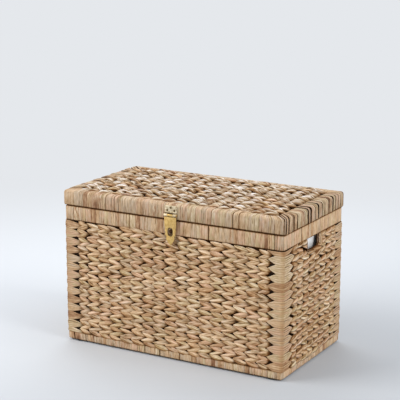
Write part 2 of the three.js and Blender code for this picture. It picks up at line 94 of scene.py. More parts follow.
class Side(Enum):
    """A side of the trunk, with the turn about +Z that brings the front to it, in quarters."""

    FRONT = 0
    RIGHT = 1
    BACK = 2
    LEFT = 3

    @property
    def label(self) -> str:
        """The side's name, as the frame's nodes spell it."""
        return self.name.lower()

    @property
    def outward(self) -> Array:
        """The side's outward direction."""
        return np.array([(0, -1, 0), (1, 0, 0), (0, 1, 0), (-1, 0, 0)][self.value], float)

    @property
    def along(self) -> Array:
        """The direction to the right, seen from outside."""
        return np.array([(1, 0, 0), (0, 1, 0), (-1, 0, 0), (0, -1, 0)][self.value], float)

    @property
    def is_short(self) -> bool:
        """Whether this is one of the ends, which have a hand hole."""
        return self in (Side.RIGHT, Side.LEFT)

    @property
    def way(self) -> int:
        """1 where the stitches' noses point left, seen from outside, and -1 where they point right."""
        return -1 if self.is_short else 1


def srgb(red: int, green: int, blue: int) -> Colour:
    """Turns a colour as seen on a screen, 0 to 255, into the linear colour that shaders take."""
    shares = [value / 255 for value in (red, green, blue)]
    return *(s / 12.92 if s <= 0.04045 else ((s + 0.055) / 1.055) ** 2.4 for s in shares), 1.0


def scaled(colour: Colour, share: float) -> Colour:
    """Makes a colour darker or lighter."""
    return *(min(1.0, share * value) for value in colour[:3]), 1.0


def node_box(node: str) -> tuple[Array, Array]:
    """Gives a CAD node's lowest and highest corners in millimetres."""
    low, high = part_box(node)
    return np.array(low) / MM, np.array(high) / MM


def smoothstep(value: Array) -> Array:
    """Eases from 0 to 1 where value goes from 0 to 1."""
    share = np.clip(value, 0, 1)
    return share * share * (3 - 2 * share)


def level_way(angle: Array) -> Array:
    """Gives the level directions at angles from +X."""
    return np.stack([np.cos(angle), np.sin(angle), np.zeros_like(angle)], axis=-1)


def set_all(target: object, values: dict[str, object]) -> None:
    """Sets several properties of a node, a modifier or an object."""
    for name, value in values.items():
        setattr(target, name, value)


def add_object(name: str, data: bpy.types.ID) -> bpy.types.Object:
    """Puts a mesh, a lamp or a camera into the scene.

    Args:
        name: The object's name.
        data: What it holds.

    Returns:
        The new object, at the origin.
    """
    obj = bpy.data.objects.new(name, data)
    bpy.context.scene.collection.objects.link(obj)
    return obj


def select_only(obj: bpy.types.Object) -> None:
    """Makes one object the only selected and the active one.

    Args:
        obj: The object.
    """
    bpy.ops.object.select_all(action="DESELECT")
    obj.select_set(True)
    bpy.context.view_layer.objects.active = obj


def duplicate(obj: bpy.types.Object) -> bpy.types.Object:
    """Copies an object.

    Args:
        obj: The object.

    Returns:
        The copy, which has its own mesh and is the active object.
    """
    select_only(obj)
    bpy.ops.object.duplicate()
    return bpy.context.active_object


def settle(name: str, **place: object) -> bpy.types.Object:
    """Names and places the active object, and applies its place, turn and scale to its mesh.

    Args:
        name: The object's name.
        place: Its location, rotation_euler and scale, where they are still to be set.

    Returns:
        The object, at the origin.
    """
    obj = bpy.context.active_object
    set_all(obj, {"name": name, **place})
    bpy.ops.object.transform_apply(location=True, rotation=True, scale=True)
    return obj


def pick_faces(obj: bpy.types.Object, wanted: Callable[[bpy.types.MeshPolygon], bool]) -> None:
    """Selects some faces of the active object, and leaves it in edit mode.

    Args:
        obj: The active object.
        wanted: Says of a face whether it is selected.
    """
    bpy.ops.object.mode_set(mode="EDIT")
    bpy.ops.mesh.select_mode(type="FACE")
    bpy.ops.mesh.select_all(action="DESELECT")
    bpy.ops.object.mode_set(mode="OBJECT")
    for face in obj.data.polygons:
        face.select = wanted(face)
    bpy.ops.object.mode_set(mode="EDIT")


def cut_across(place: Floats, way: Floats) -> None:
    """Cuts the whole mesh in edit mode along a plane, given by a point on it and its normal."""
    bpy.ops.mesh.select_all(action="SELECT")
    bpy.ops.mesh.bisect(plane_co=place, plane_no=way)


def apply_modifier(obj: bpy.types.Object, kind: str, **values: object) -> None:
    """Shapes the active object with a modifier.

    Args:
        obj: The active object.
        kind: The modifier's type.
        values: The modifier's properties.
    """
    modifier = obj.modifiers.new(kind.lower(), kind)
    set_all(modifier, values)
    bpy.ops.object.modifier_apply(modifier=modifier.name)


def fit_out(obj: bpy.types.Object, body: Body, material: bpy.types.Material,
            replaces: tuple[str, ...] = ()) -> bpy.types.Object:
    """Gives a finished piece its material and its body, and hides the CAD nodes that it stands for.

    Args:
        obj: The piece, in place and at the origin.
        body: The body it moves with.
        material: Its Blender material.
        replaces: CAD nodes that it stands for.

    Returns:
        The same piece.
    """
    obj.data.materials.clear()
    obj.data.materials.append(material)
    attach(obj, body.value)
    if replaces:
        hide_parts(*replaces)
    LOG.info("%s: %d faces on %s", obj.name, len(obj.data.polygons), body.value)
    return obj


class Shader:
    """Adds and joins the nodes of one shader tree. A node takes other nodes' sockets or plain values."""

    def __init__(self, tree: bpy.types.NodeTree) -> None:
        """Starts on a tree."""
        self.tree = tree

    def fill(self, node: bpy.types.Node, values: dict[str | int, object]) -> None:
        """Feeds a node's inputs.

        Args:
            node: The node.
            values: What its sockets take, by their names or numbers.
        """
        for name, value in values.items():
            if isinstance(value, Socket):
                self.tree.links.new(value, node.inputs[name])
            else:
                node.inputs[name].default_value = value

    def add(self, kind: str, values: dict[str | int, object], output: str | int = 0,
            **properties: object) -> Socket:
        """Adds a node.

        Args:
            kind: The node's type, less the start that all of them share.
            values: What its sockets take, by their names or numbers.
            output: The wanted output's name or number.
            properties: The node's own properties.

        Returns:
            The wanted output.
        """
        node = self.tree.nodes.new(f"ShaderNode{kind}")
        set_all(node, properties)
        self.fill(node, values)
        return node.outputs[output]

    def math(self, operation: str, *values: object, clamp: bool = False) -> Socket:
        """Works out one or two values."""
        return self.add("Math", dict(enumerate(values)), operation=operation, use_clamp=clamp)

    def plus(self, first: object, second: object) -> Socket:
        """Adds two values."""
        return self.math("ADD", first, second)

    def minus(self, first: object, second: object) -> Socket:
        """Takes the second value from the first."""
        return self.math("SUBTRACT", first, second)

    def times(self, first: object, second: object) -> Socket:
        """Multiplies two values."""
        return self.math("MULTIPLY", first, second)

    def apart(self, first: object, second: object) -> Socket:
        """Gives how far apart two values are."""
        return self.math("ABSOLUTE", self.minus(first, second))

    def hypot(self, first: object, second: object) -> Socket:
        """Gives the distance that two distances at right angles make."""
        return self.math("SQRT", self.plus(self.times(first, first), self.times(second, second)))

    def spread(self, noise: object, reach: object) -> Socket:
        """Turns a noise about a half into one about zero, as wide as reach."""
        return self.times(self.minus(noise, 0.5), reach)

    def vector(self, *values: object) -> Socket:
        """Builds a vector from three values."""
        return self.add("CombineXYZ", dict(enumerate(values)))

    def parts(self, vector: Socket) -> tuple[Socket, ...]:
        """Splits a vector into its three values."""
        return tuple(self.add("SeparateXYZ", {0: vector}).node.outputs)

    def place(self) -> Socket:
        """Gives the place on the piece, in metres."""
        return self.add("TexCoord", {}, "Object")

    def stretched(self, vector: Socket, scale: Floats) -> Socket:
        """Scales a vector along its axes."""
        return self.add("Mapping", {"Vector": vector, "Scale": scale})

    def attribute(self, name: str, output: str) -> Socket:
        """Reads a mesh attribute."""
        return self.add("Attribute", {}, output, attribute_name=name)

    def noise(self, vector: Socket, scale: float = 1.0, detail: float = 2.0,
              roughness: float = 0.5) -> Socket:
        """Gives a noise from 0 to 1 over a vector."""
        values = {"Vector": vector, "Scale": scale, "Detail": detail, "Roughness": roughness}
        return self.add("TexNoise", values, "Fac")

    def grain(self, place: tuple[Socket, Socket], waves: tuple[object, object], layer: object,
              detail: float = 2.0, roughness: float = 0.5) -> Socket:
        """Gives a noise with its own waves per metre along and across a place, and its own layer."""
        stretched = self.vector(self.times(place[0], waves[0]), self.times(place[1], waves[1]), layer)
        return self.noise(stretched, detail=detail, roughness=roughness)

    def ranged(self, value: object, low: float, high: float, to_low: float = 0.0,
               to_high: float = 1.0) -> Socket:
        """Maps a value smoothly from one range to another, and holds it at the ends."""
        values = {"Value": value, "From Min": low, "From Max": high, "To Min": to_low, "To Max": to_high}
        return self.add("MapRange", values, "Result", interpolation_type="SMOOTHSTEP")

    def mix(self, share: object, first: object, second: object, blend: str = "MIX") -> Socket:
        """Mixes two colours."""
        return self.add("Mix", {"Factor": share, 6: first, 7: second}, 2, data_type="RGBA", blend_type=blend)

    def shade(self, colour: Socket, light: object, green: float = 1.0, blue: float = 1.0) -> Socket:
        """Darkens a colour by a light from 0 to 1, whose powers for green and blue make the dark brown."""
        parts = (light if power == 1.0 else self.math("POWER", light, power) for power in (1.0, green, blue))
        return self.mix(1.0, colour, self.vector(*parts), "MULTIPLY")

    def ramp(self, value: object, *stops: tuple[float, Colour]) -> Socket:
        """Gives the colour at a value along a ramp.

        Args:
            value: The place along the ramp, 0 to 1.
            stops: Places and their colours.

        Returns:
            The colour.
        """
        colour = self.add("ValToRGB", {"Fac": value}, "Color")
        elements = colour.node.color_ramp.elements
        while len(elements) < len(stops):
            elements.new(1.0)
        for element, (place, tone) in zip(elements, stops):
            set_all(element, {"position": place, "color": tone})
        return colour

    def bump(self, height: Socket, strength: float, relief: float) -> Socket:
        """Gives the normal over a height of 0 to 1, which stands up by relief, in millimetres."""
        return self.add("Bump", {"Strength": strength, "Distance": relief * MM, "Height": height}, "Normal")


@dataclass(frozen=True)
class StrandFibre:
    """The look of a dried strand, shared by woven and wound strands.

    Lay is the place on a strand: along it and across it in metres, and the strand's own number from 0 to 1.
    Waves are per metre, along and across. The folds are two fine lines along each strand, each with its own
    darkness, that lie in fold_band, wander and are as wide as fold_width, in metres.
    """

    fibre_layers: float = 91.0
    stain_layers: float = 53.0
    fibre_waves: float = 30.0
    patch_waves: Pair = (55.0, 130.0)
    stain_waves: Pair = (24.0, 60.0)
    drift: float = 0.45
    folds: Floats = (0.2, 0.15)
    fold_band: float = 0.022
    fold_wander: float = 0.006
    fold_width: Pair = (0.0003, 0.0013)
    deepest: float = 0.3
    tuck_shade: float = 0.85
    tuck_dull: float = 0.4
    sheen_colour: Colour = srgb(233, 226, 219)
    stained: Colour = srgb(140, 98, 64)
    tones: tuple[tuple[float, Colour], ...] = (
        (0.00, srgb(168, 129, 96)), (0.13, srgb(200, 165, 128)), (0.28, srgb(217, 188, 154)),
        (0.40, srgb(198, 176, 150)), (0.52, srgb(212, 175, 145)), (0.64, srgb(202, 179, 141)),
        (0.78, srgb(225, 204, 175)), (0.90, srgb(188, 151, 118)), (1.00, srgb(150, 110, 80)))

    def group(self) -> bpy.types.NodeTree:
        """Builds the node group.

        Returns:
            The group, with the look's strengths as its inputs.
        """
        tree = bpy.data.node_groups.new("strand_fibre", "ShaderNodeTree")
        for way, kind, names in (
                ("INPUT", "Vector", ("Lay",)),
                ("INPUT", "Float", ("Tuck", "Fineness", "Contrast", "Fold", "Tone", "Fade", "Variety")),
                ("OUTPUT", "Color", ("Colour",)),
                ("OUTPUT", "Float", ("Height", "Roughness"))):
            for name in names:
                tree.interface.new_socket(name, in_out=way, socket_type=f"NodeSocket{kind}")
        shader = Shader(tree)
        given = tree.nodes.new("NodeGroupInput").outputs
        along, across, strand = shader.parts(given["Lay"])
        number = shader.times(strand, self.fibre_layers)
        fibre = shader.grain((along, across), (self.fibre_waves, given["Fineness"]), number, 3.0, 0.62)
        patch = shader.grain((along, across), self.patch_waves, number)
        stain_layer = shader.times(strand, self.stain_layers)
        stain = shader.grain((along, across), self.stain_waves, stain_layer, 3.0)
        spot = shader.math("ADD", strand, shader.spread(patch, self.drift), clamp=True)
        colour = shader.ramp(shader.plus(shader.spread(spot, given["Variety"]), 0.5), *self.tones)
        chance = shader.noise(shader.vector(number, number, 0.0), 3.0, 0.0)
        # Painted sheen: some strands are mixed towards a pale colour that stands in for the sky's highlight
        # on the lid top.
        sheen_share = shader.times(given["Fade"], shader.ranged(chance, 0.3, 0.65))
        colour = shader.mix(sheen_share, colour, self.sheen_colour)
        colour = shader.mix(shader.ranged(stain, 0.6, 0.78, 0.0, 0.55), colour, self.stained)
        crease = shader.ranged(fibre, 0.32, 0.44, 0.22, 0.0)
        beside = shader.plus(across, shader.spread(patch, self.fold_wander))
        for rank, weight in enumerate(self.folds, 1):
            chosen = shader.noise(shader.vector(number, float(rank), number), 5.0, 0.0)
            off = shader.apart(beside, shader.spread(chosen, self.fold_band))
            line = shader.ranged(off, *self.fold_width, weight, 0.0)
            crease = shader.plus(crease, shader.times(given["Fold"], line))
        light = shader.plus(1.0, shader.spread(fibre, given["Contrast"]))
        light = shader.minus(light, shader.times(given["Contrast"], crease))
        colour = shader.shade(colour, shader.math("MAXIMUM", light, self.deepest), 1.25, 1.7)
        colour = shader.shade(colour, given["Tone"])
        # Painted shade: the tuck darkens creases, ends and seams towards brown, where shade falls between
        # strands.
        shadow = shader.minus(1.0, shader.times(given["Tuck"], self.tuck_shade))
        dullness = shader.times(given["Tuck"], self.tuck_dull)
        shader.fill(tree.nodes.new("NodeGroupOutput"), {
            "Colour": shader.shade(colour, shadow, 1.4, 2.0),
            "Height": shader.plus(shader.times(fibre, 0.7), shader.times(patch, 0.3)),
            "Roughness": shader.math("ADD", shader.ranged(fibre, 0.2, 0.8, 0.74, 0.5), dullness, clamp=True),
        })
        return tree


@dataclass(frozen=True)
class Finish:
    """The look of one material."""

    name: str

    def dress(self, shader: Shader) -> dict[str, object]:
        """Builds the look's nodes.

        Args:
            shader: The material's tree.

        Returns:
            What the Principled shader's sockets take.
        """
        raise NotImplementedError

    def material(self) -> bpy.types.Material:
        """Makes the material.

        Returns:
            The new material.
        """
        material = bpy.data.materials.new(self.name)
        material.use_nodes = True
        shader = Shader(material.node_tree)
        shader.fill(material.node_tree.nodes["Principled BSDF"], self.dress(shader))
        return material


@dataclass(frozen=True)
class StrandFinish(Finish):
    """Dried water hyacinth, in the strands' own fibre lines."""

    fibre: bpy.types.NodeTree
    fineness: float = 270.0
    contrast: float = 1.3
    relief: float = 0.6
    fold: float = 0.3
    tone: float = 1.0
    fade: float = 0.0
    variety: float = 1.0

    def dress(self, shader: Shader) -> dict[str, object]:
        """Places the shared fibre group, with this strand's own strengths.

        Args:
            shader: The material's tree.

        Returns:
            What the Principled shader's sockets take.
        """
        given = {name.capitalize(): getattr(self, name)
                 for name in ("fineness", "contrast", "fold", "tone", "fade", "variety")}
        given["Lay"] = shader.attribute("lay", "Vector")
        given["Tuck"] = shader.attribute("tuck", "Fac")
        look = shader.add("Group", given, node_tree=self.fibre).node.outputs
        return {"Base Color": look["Colour"], "Roughness": look["Roughness"], "Specular IOR Level": 0.22,
                "Normal": shader.bump(look["Height"], 0.8, self.relief)}


@dataclass(frozen=True)
class TimberFinish(Finish):
    """Plain sawn wood with a long grain along one axis."""

    light: Colour
    dark: Colour
    stretch: tuple[float, float, float]
    shine: float = 0.4

    def dress(self, shader: Shader) -> dict[str, object]:
        """Draws the grain on Object coordinates.

        Args:
            shader: The material's tree.

        Returns:
            What the Principled shader's sockets take.
        """
        grain = shader.noise(shader.stretched(shader.place(), self.stretch), 1.0, 4.0, 0.65)
        return {"Base Color": shader.ramp(grain, (0.3, self.dark), (0.7, self.light)),
                "Roughness": shader.ranged(grain, 0.3, 0.7, 0.75, 0.55), "Specular IOR Level": self.shine,
                "Normal": shader.bump(grain, 0.4, 0.3)}


@dataclass(frozen=True)
class CottonFinish(Finish):
    """Plain-woven cotton, in warp and weft threads, so many to the metre."""

    colour: Colour
    threads: float
    slub: Pair = (150.0, 330.0)

    def dress(self, shader: Shader) -> dict[str, object]:
        """Weaves the threads on the cloth's own UV map.

        Args:
            shader: The material's tree.

        Returns:
            What the Principled shader's sockets take.
        """
        across, up, _ = shader.parts(shader.add("UVMap", {}, "UV", uv_map="cloth"))
        turns = 2 * math.pi * self.threads
        warp, weft = (shader.math("SINE", shader.times(way, turns)) for way in (across, up))
        weave = shader.plus(0.5, shader.times(0.5, shader.times(warp, weft)))
        slub = shader.grain((across, up), self.slub, 0.0, 3.0)
        soft = shader.plus(shader.times(weave, 0.35), shader.times(slub, 0.65))
        return {"Base Color": shader.ramp(soft, (0.2, scaled(self.colour, 0.86)), (0.7, self.colour)),
                "Roughness": shader.ranged(slub, 0.3, 0.7, 0.95, 0.82), "Sheen Weight": 0.2,
                "Normal": shader.bump(soft, 0.5, 0.25)}


@dataclass(frozen=True)
class ThreadFinish(Finish):
    """Twisted sewing thread."""

    colour: Colour
    twists: float = 9000.0

    def dress(self, shader: Shader) -> dict[str, object]:
        """Twists the thread along its own lay.

        Args:
            shader: The material's tree.

        Returns:
            What the Principled shader's sockets take.
        """
        along, across, _ = shader.parts(shader.attribute("lay", "Vector"))
        twist = shader.math("SINE", shader.times(shader.plus(along, across), self.twists))
        share = shader.ranged(twist, -1.0, 1.0)
        return {"Base Color": shader.ramp(share, (0.0, scaled(self.colour, 0.7)), (1.0, self.colour)),
                "Roughness": 0.8, "Normal": shader.bump(twist, 0.4, 0.1)}


@dataclass(frozen=True)
class BrassFinish(Finish):
    """Stamped brass, brushed upright, with dull patches, and painted shadow in its creases and round its
    slot.

    Creases are given by their heights, and the slot by its middle's place across and up, its half width
    and half its straight length.
    """

    bright: Colour
    dull: Colour
    roughness: float
    creases: Floats = ()
    slot: tuple[float, float, float, float] | None = None
    brush: tuple[float, float, float] = (1500.0, 1500.0, 60.0)
    patches: float = 160.0
    painted_shadow: Colour = srgb(78, 56, 28)
    slot_shadow: Colour = srgb(58, 38, 18)

    def dress(self, shader: Shader) -> dict[str, object]:
        """Brushes and soils the metal on Object coordinates.

        Args:
            shader: The material's tree.

        Returns:
            What the Principled shader's sockets take.
        """
        place = shader.place()
        brushed = shader.noise(shader.stretched(place, self.brush))
        patch = shader.noise(place, self.patches, 4.0, 0.6)
        colour = shader.ramp(patch, (0.35, self.dull), (0.62, self.bright))
        across, _, up = shader.parts(place)
        # Painted shadow: a dark line at each crease, where the knuckle shades the plate and the leaf.
        for crease in self.creases:
            painted_shadow = shader.ranged(shader.apart(up, crease * MM), 0.7 * MM, 1.7 * MM, 0.85, 0.0)
            colour = shader.mix(painted_shadow, colour, self.painted_shadow)
        # Painted shadow round the slot, where the leaf stands off the band behind it.
        if self.slot:
            middle, level, half_width, straight = (value * MM for value in self.slot)
            past = shader.math("MAXIMUM", shader.minus(shader.apart(up, level), straight), 0.0)
            away = shader.hypot(shader.minus(across, middle), past)
            painted_shadow = shader.ranged(away, half_width + 0.4 * MM, half_width + 2.4 * MM, 0.92, 0.0)
            colour = shader.mix(painted_shadow, colour, self.slot_shadow)
        worn = shader.ranged(patch, 0.35, 0.62, self.roughness + 0.12, self.roughness)
        return {"Base Color": colour, "Metallic": 1.0,
                "Roughness": shader.plus(shader.ranged(brushed, 0.3, 0.7, -0.06, 0.06), worn),
                "Normal": shader.bump(brushed, 0.25, 0.05)}


@dataclass(frozen=True)
class GlideFinish(Finish):
    """Moulded dark plastic, scuffed on its sole."""

    colour: Colour

    def dress(self, shader: Shader) -> dict[str, object]:
        """Speckles the plastic on Object coordinates.

        Args:
            shader: The material's tree.

        Returns:
            What the Principled shader's sockets take.
        """
        grain = shader.noise(shader.place(), 900.0, 3.0)
        return {"Base Color": shader.ramp(grain, (0.45, self.colour), (0.8, scaled(self.colour, 2.2))),
                "Roughness": shader.ranged(grain, 0.3, 0.7, 0.5, 0.75),
                "Normal": shader.bump(grain, 0.3, 0.1)}


@dataclass(frozen=True)
class FloorFinish(Finish):
    """A plain pale floor with painted light, paler to the back, faintly mottled, and lost in a haze further
    off.
    """

    near: Colour
    far: Colour
    haze: Colour

    def dress(self, shader: Shader) -> dict[str, object]:
        """Shades the floor on Object coordinates.

        Args:
            shader: The material's tree.

        Returns:
            What the Principled shader's sockets take.
        """
        place = shader.place()
        across, back, _ = shader.parts(place)
        # Painted light: the floor is paler towards the back and the left, where the light comes from.
        away = shader.minus(shader.times(back, 0.55), across)
        mottle = shader.spread(shader.noise(place, 1.2), 0.2)
        share = shader.plus(shader.ranged(away, -1.2, 1.2), mottle)
        seen = shader.add("LightPath", {}, "Is Camera Ray")
        lost = shader.times(shader.ranged(shader.hypot(across, back), 0.6, 2.3), seen)
        plain = shader.ramp(share, (0.0, self.near), (1.0, self.far))
        return {"Base Color": shader.mix(lost, plain, (0.0, 0.0, 0.0, 1.0)), "Emission Color": self.haze,
                "Emission Strength": lost, "Roughness": 0.6, "Specular IOR Level": 0.0}


class Finishes:
    """Every material of the trunk, built once."""

    def __init__(self) -> None:
        """Builds the shared fibre group and the materials."""
        fibre = StrandFibre().group()
        self.wound = StrandFinish("wound_strand", fibre, tone=0.82).material()
        self.ribbed = StrandFinish("ribbed_strand", fibre, contrast=1.8, tone=0.74).material()
        # Painted light: a lighter copy of the wound strands for the body's bands, which makes up for the
        # lid's shade on the rim.
        self.band_lightened = StrandFinish("band_lightened_strand", fibre, tone=0.96).material()
        self.level = StrandFinish("level_strand", fibre, 380.0, contrast=0.7, fold=0.5, tone=0.89).material()
        self.woven = StrandFinish("woven_strand", fibre, 160.0, contrast=1.6, relief=1.0, fold=1.0, tone=1.04,
                                  variety=0.8).material()
        # The lid top's copy, with painted sheen for the sky's highlight on it.
        self.sheen_painted = StrandFinish("sheen_painted_strand", fibre, 170.0, contrast=2.4, relief=1.0, fold=1.0, tone=0.9,
                                  fade=0.95).material()
        self.timber = TimberFinish("frame_timber", srgb(112, 80, 52), srgb(84, 58, 36),
                                   (40, 40, 40)).material()
        # The stakes' own wood, given a dark brown that also stands in for the shade in the gaps between
        # stitches.
        self.core = TimberFinish("stakes", srgb(88, 54, 25), srgb(58, 35, 16), (300, 300, 20),
                                 0.05).material()
        # Painted shade: the posts are near black, so the holes at the corners read as deep shade.
        self.post = TimberFinish("shade_dark_posts", srgb(40, 26, 16), srgb(24, 15, 9), (90, 90, 9), 0.05).material()
        self.plywood = TimberFinish("plywood", srgb(208, 176, 128), srgb(178, 142, 96),
                                    (6, 90, 90)).material()
        self.cotton = CottonFinish("cotton", srgb(236, 237, 238), 900.0).material()
        self.thread = ThreadFinish("thread", srgb(240, 240, 238)).material()
        yellow = srgb(222, 191, 126), srgb(203, 170, 106)
        self.brass = BrassFinish("brass", *yellow, 0.58).material()
        self.leaf = BrassFinish("leaf_brass", *yellow, 0.6, creases=(415.2, 423.6),
                                slot=(7.0, 372.2, 7.0, 4.0)).material()
        self.plate = BrassFinish("pale_brass", srgb(230, 216, 188), srgb(200, 182, 148), 0.62,
                                 creases=(424.6,)).material()
        # Painted shade: the stud is dark, so the slot in the hasp's leaf reads as shaded.
        self.stud = BrassFinish("slot_shade_brass", srgb(82, 54, 34), srgb(44, 29, 18), 0.5).material()
        self.screw = BrassFinish("screw_brass", srgb(130, 108, 72), srgb(84, 68, 46), 0.42).material()
        self.glide = GlideFinish("glide", srgb(30, 28, 26)).material()
        self.haze = srgb(229, 232, 236)
        self.floor = FloorFinish("floor", srgb(180, 184, 189), srgb(212, 216, 221), self.haze).material()


@dataclass(frozen=True)
class BlankMesh:
    """A strand's blank: for each corner its ring, its place across and above and its shade; and the faces."""

    ring: Array
    across: Array
    above: Array
    shade: Array
    faces: list[tuple[int, ...]]


@dataclass(frozen=True)
class StrandBlank:
    """A straight strand, modelled once; every strand of one kind is a copy of it, bent along its own path.

    The profile gives each side's place across and above the strand's middle, as shares of its half sizes, and
    the painted shade that side gets, where it lies in the dark between strands.
    """

    rings: int
    profile: tuple[tuple[float, float, float], ...]

    def model(self) -> BlankMesh:
        """Models the blank from a cylinder, cut into rings along its length.

        Returns:
            The blank's corners and faces.
        """
        sides = len(self.profile)
        bpy.ops.object.select_all(action="DESELECT")
        bpy.ops.mesh.primitive_cylinder_add(vertices=sides, radius=1.0, depth=1.0, location=(0, 0, 0.5))
        blank = settle("blank")
        bpy.ops.object.mode_set(mode="EDIT")
        bpy.ops.mesh.select_mode(type="EDGE")
        bpy.ops.mesh.select_all(action="DESELECT")
        bpy.ops.object.mode_set(mode="OBJECT")
        corners = blank.data.vertices
        for edge in blank.data.edges:
            first, second = (corners[i].co for i in edge.vertices)
            edge.select = abs(first.z - second.z) > 0.5
        bpy.ops.object.mode_set(mode="EDIT")
        bpy.ops.mesh.subdivide(number_cuts=self.rings - 2)
        bpy.ops.object.mode_set(mode="OBJECT")
        places = np.array([v.co for v in blank.data.vertices])
        faces = [tuple(p.vertices) for p in blank.data.polygons]
        bpy.data.meshes.remove(blank.data)
        ring = np.rint(places[:, 2] * (self.rings - 1)).astype(int)
        step = np.rint(np.arctan2(places[:, 1], places[:, 0]) / (2 * math.pi / sides)).astype(int) % sides
        return BlankMesh(ring, *np.array(self.profile)[step].T, faces)


# The third value of each side is its painted shade, dark at the edges that lie between strands.
STITCH_PROFILE = ((1.0, -0.2, 1.0), (0.87, 0.66, 0.06), (0.0, 1.0, 0.0), (-0.87, 0.66, 0.06),
                  (-1.0, -0.2, 1.0), (0.0, -0.9, 1.0))
DOMED_PROFILE = ((1.0, -0.4, 1.0), (0.75, 0.4, 0.75), (0.3, 0.95, 0.05), (-0.3, 0.95, 0.05),
                 (-0.75, 0.4, 0.75), (-1.0, -0.4, 1.0), (-0.4, -0.9, 1.0), (0.4, -0.9, 1.0))
LEVEL_PROFILE = ((1.0, -0.1, 0.45), (0.75, 0.75, 0.0), (0.0, 1.0, 0.0), (-0.75, 0.75, 0.0),
                 (-1.0, -0.1, 0.45), (0.0, -0.9, 1.0))
THREAD_PROFILE = ((1.0, 0.0, 0.0), (0.0, 1.0, 0.0), (-1.0, 0.0, 0.0), (0.0, -1.0, 0.0))
STRIP_PROFILE = ((1.0, 0.0, 1.0), (0.75, 0.8, 0.0), (-0.75, 0.8, 0.0), (-1.0, 0.0, 1.0), (0.0, -1.0, 1.0))


def strand_mesh(name: str, places: Array, lay: tuple[Array, ...], tuck: Array,
                faces: list[tuple[int, ...]]) -> bpy.types.Object:
    """Joins copies of one strand into a smooth mesh.

    Args:
        name: The piece's name.
        places: The corners of each copy, in millimetres.
        lay: Each corner's place along and across its strand, in metres, and the strand's number.
        tuck: How much painted shade each corner gets, where it is tucked into the dark.
        faces: The faces of one copy.

    Returns:
        The new object, at the origin.
    """
    count, corners = places.shape[:2]
    mesh = bpy.data.meshes.new(name)
    mesh.from_pydata((places.reshape(-1, 3) * MM).tolist(), [],
                     [tuple(i + k * corners for i in face) for k in range(count) for face in faces])
    spread = np.stack([np.broadcast_to(values, (count, corners)) for values in lay], axis=2)
    for label, kind, key, values in (("lay", "FLOAT_VECTOR", "vector", spread),
                                     ("tuck", "FLOAT", "value", tuck)):
        attribute = mesh.attributes.new(label, kind, "POINT")
        attribute.data.foreach_set(key, values.reshape(-1).astype(np.float32))
    mesh.polygons.foreach_set("use_smooth", np.ones(len(mesh.polygons), bool))
    mesh.update()
    return add_object(name, mesh)


@dataclass
class StrandRun:
    """Strands of one kind on their paths; each array has a row per strand and a column per ring."""

    centre: Array
    outward: Array
    half_width: Array
    half_thick: Array
    roll: Array
    tuck: Array
    number: Array

    def frames(self) -> tuple[Array, Array]:
        """Finds how each ring is turned.

        Returns:
            The directions across the strand and out of its face.
        """
        tangent = np.gradient(self.centre, axis=1)
        tangent /= np.linalg.norm(tangent, axis=2, keepdims=True)
        across = np.cross(self.outward, tangent)
        across /= np.linalg.norm(across, axis=2, keepdims=True)
        rise = np.cross(tangent, across)
        cosine, sine = np.cos(self.roll)[..., None], np.sin(self.roll)[..., None]
        return across * cosine + rise * sine, rise * cosine - across * sine

    def piece(self, name: str, blank: StrandBlank) -> bpy.types.Object:
        """Bends a copy of the blank along every path and joins the copies into one mesh.

        Args:
            name: The piece's name.
            blank: The strand that is copied.

        Returns:
            The new object, at the origin.
        """
        shape = blank.model()
        ring = shape.ring
        side_way, rise = self.frames()
        width = self.half_width[:, ring] * shape.across
        height = self.half_thick[:, ring] * shape.above
        places = self.centre[:, ring] + side_way[:, ring] * width[..., None]
        places = places + rise[:, ring] * height[..., None]
        steps = np.linalg.norm(np.diff(self.centre, axis=1), axis=2)
        run = np.concatenate([np.zeros((len(steps), 1)), np.cumsum(steps, axis=1)], axis=1)
        lay = (run[:, ring] * MM, width * MM, self.number[:, None])
        return strand_mesh(name, places, lay, np.maximum(self.tuck[:, ring], shape.shade), shape.faces)


@dataclass(frozen=True)
class Wall:
    """The body's outer face, followed round the trunk from its front left corner."""

    half_length: float
    half_depth: float
    corner_round: float

    @property
    def lengths(self) -> Array:
        """The four sides' lengths, in order."""
        return 2 * np.array([self.half_length, self.half_depth, self.half_length, self.half_depth])

    @property
    def starts(self) -> Array:
        """Where each side starts along the wall."""
        return np.concatenate([[0], np.cumsum(self.lengths)[:-1]])

    def place(self, along: Array, out: Array, level: Array) -> tuple[Array, Array]:
        """Finds points on the wall.

        Args:
            along: Distance round the trunk from its front left corner.
            out: Distance out of the face.
            level: Height above the floor.

        Returns:
            The points, and the wall's outward direction at each.
        """
        along = np.mod(along, self.lengths.sum())
        side = np.searchsorted(self.starts, along, side="right") - 1
        local = along - self.starts[side]
        length = self.lengths[side]
        radius = self.corner_round
        to_end = length - local
        turn = np.where(local < radius, (local - radius) / (2 * radius), 0.0)
        turn = np.where(to_end < radius, (radius - to_end) / (2 * radius), turn)
        outward = level_way(math.pi / 2 * (side - 1 + turn))
        normal = level_way(math.pi / 2 * (side - 1))
        right = np.stack([-normal[..., 1], normal[..., 0], normal[..., 2]], axis=-1)
        reach = np.where(side % 2 == 0, self.half_depth, self.half_length)
        held = np.clip(local, radius, length - radius) - length / 2
        centre = normal * (reach - radius)[..., None] + right * held[..., None]
        points = centre + outward * (radius + out)[..., None]
        points[..., 2] = level
        return points, outward


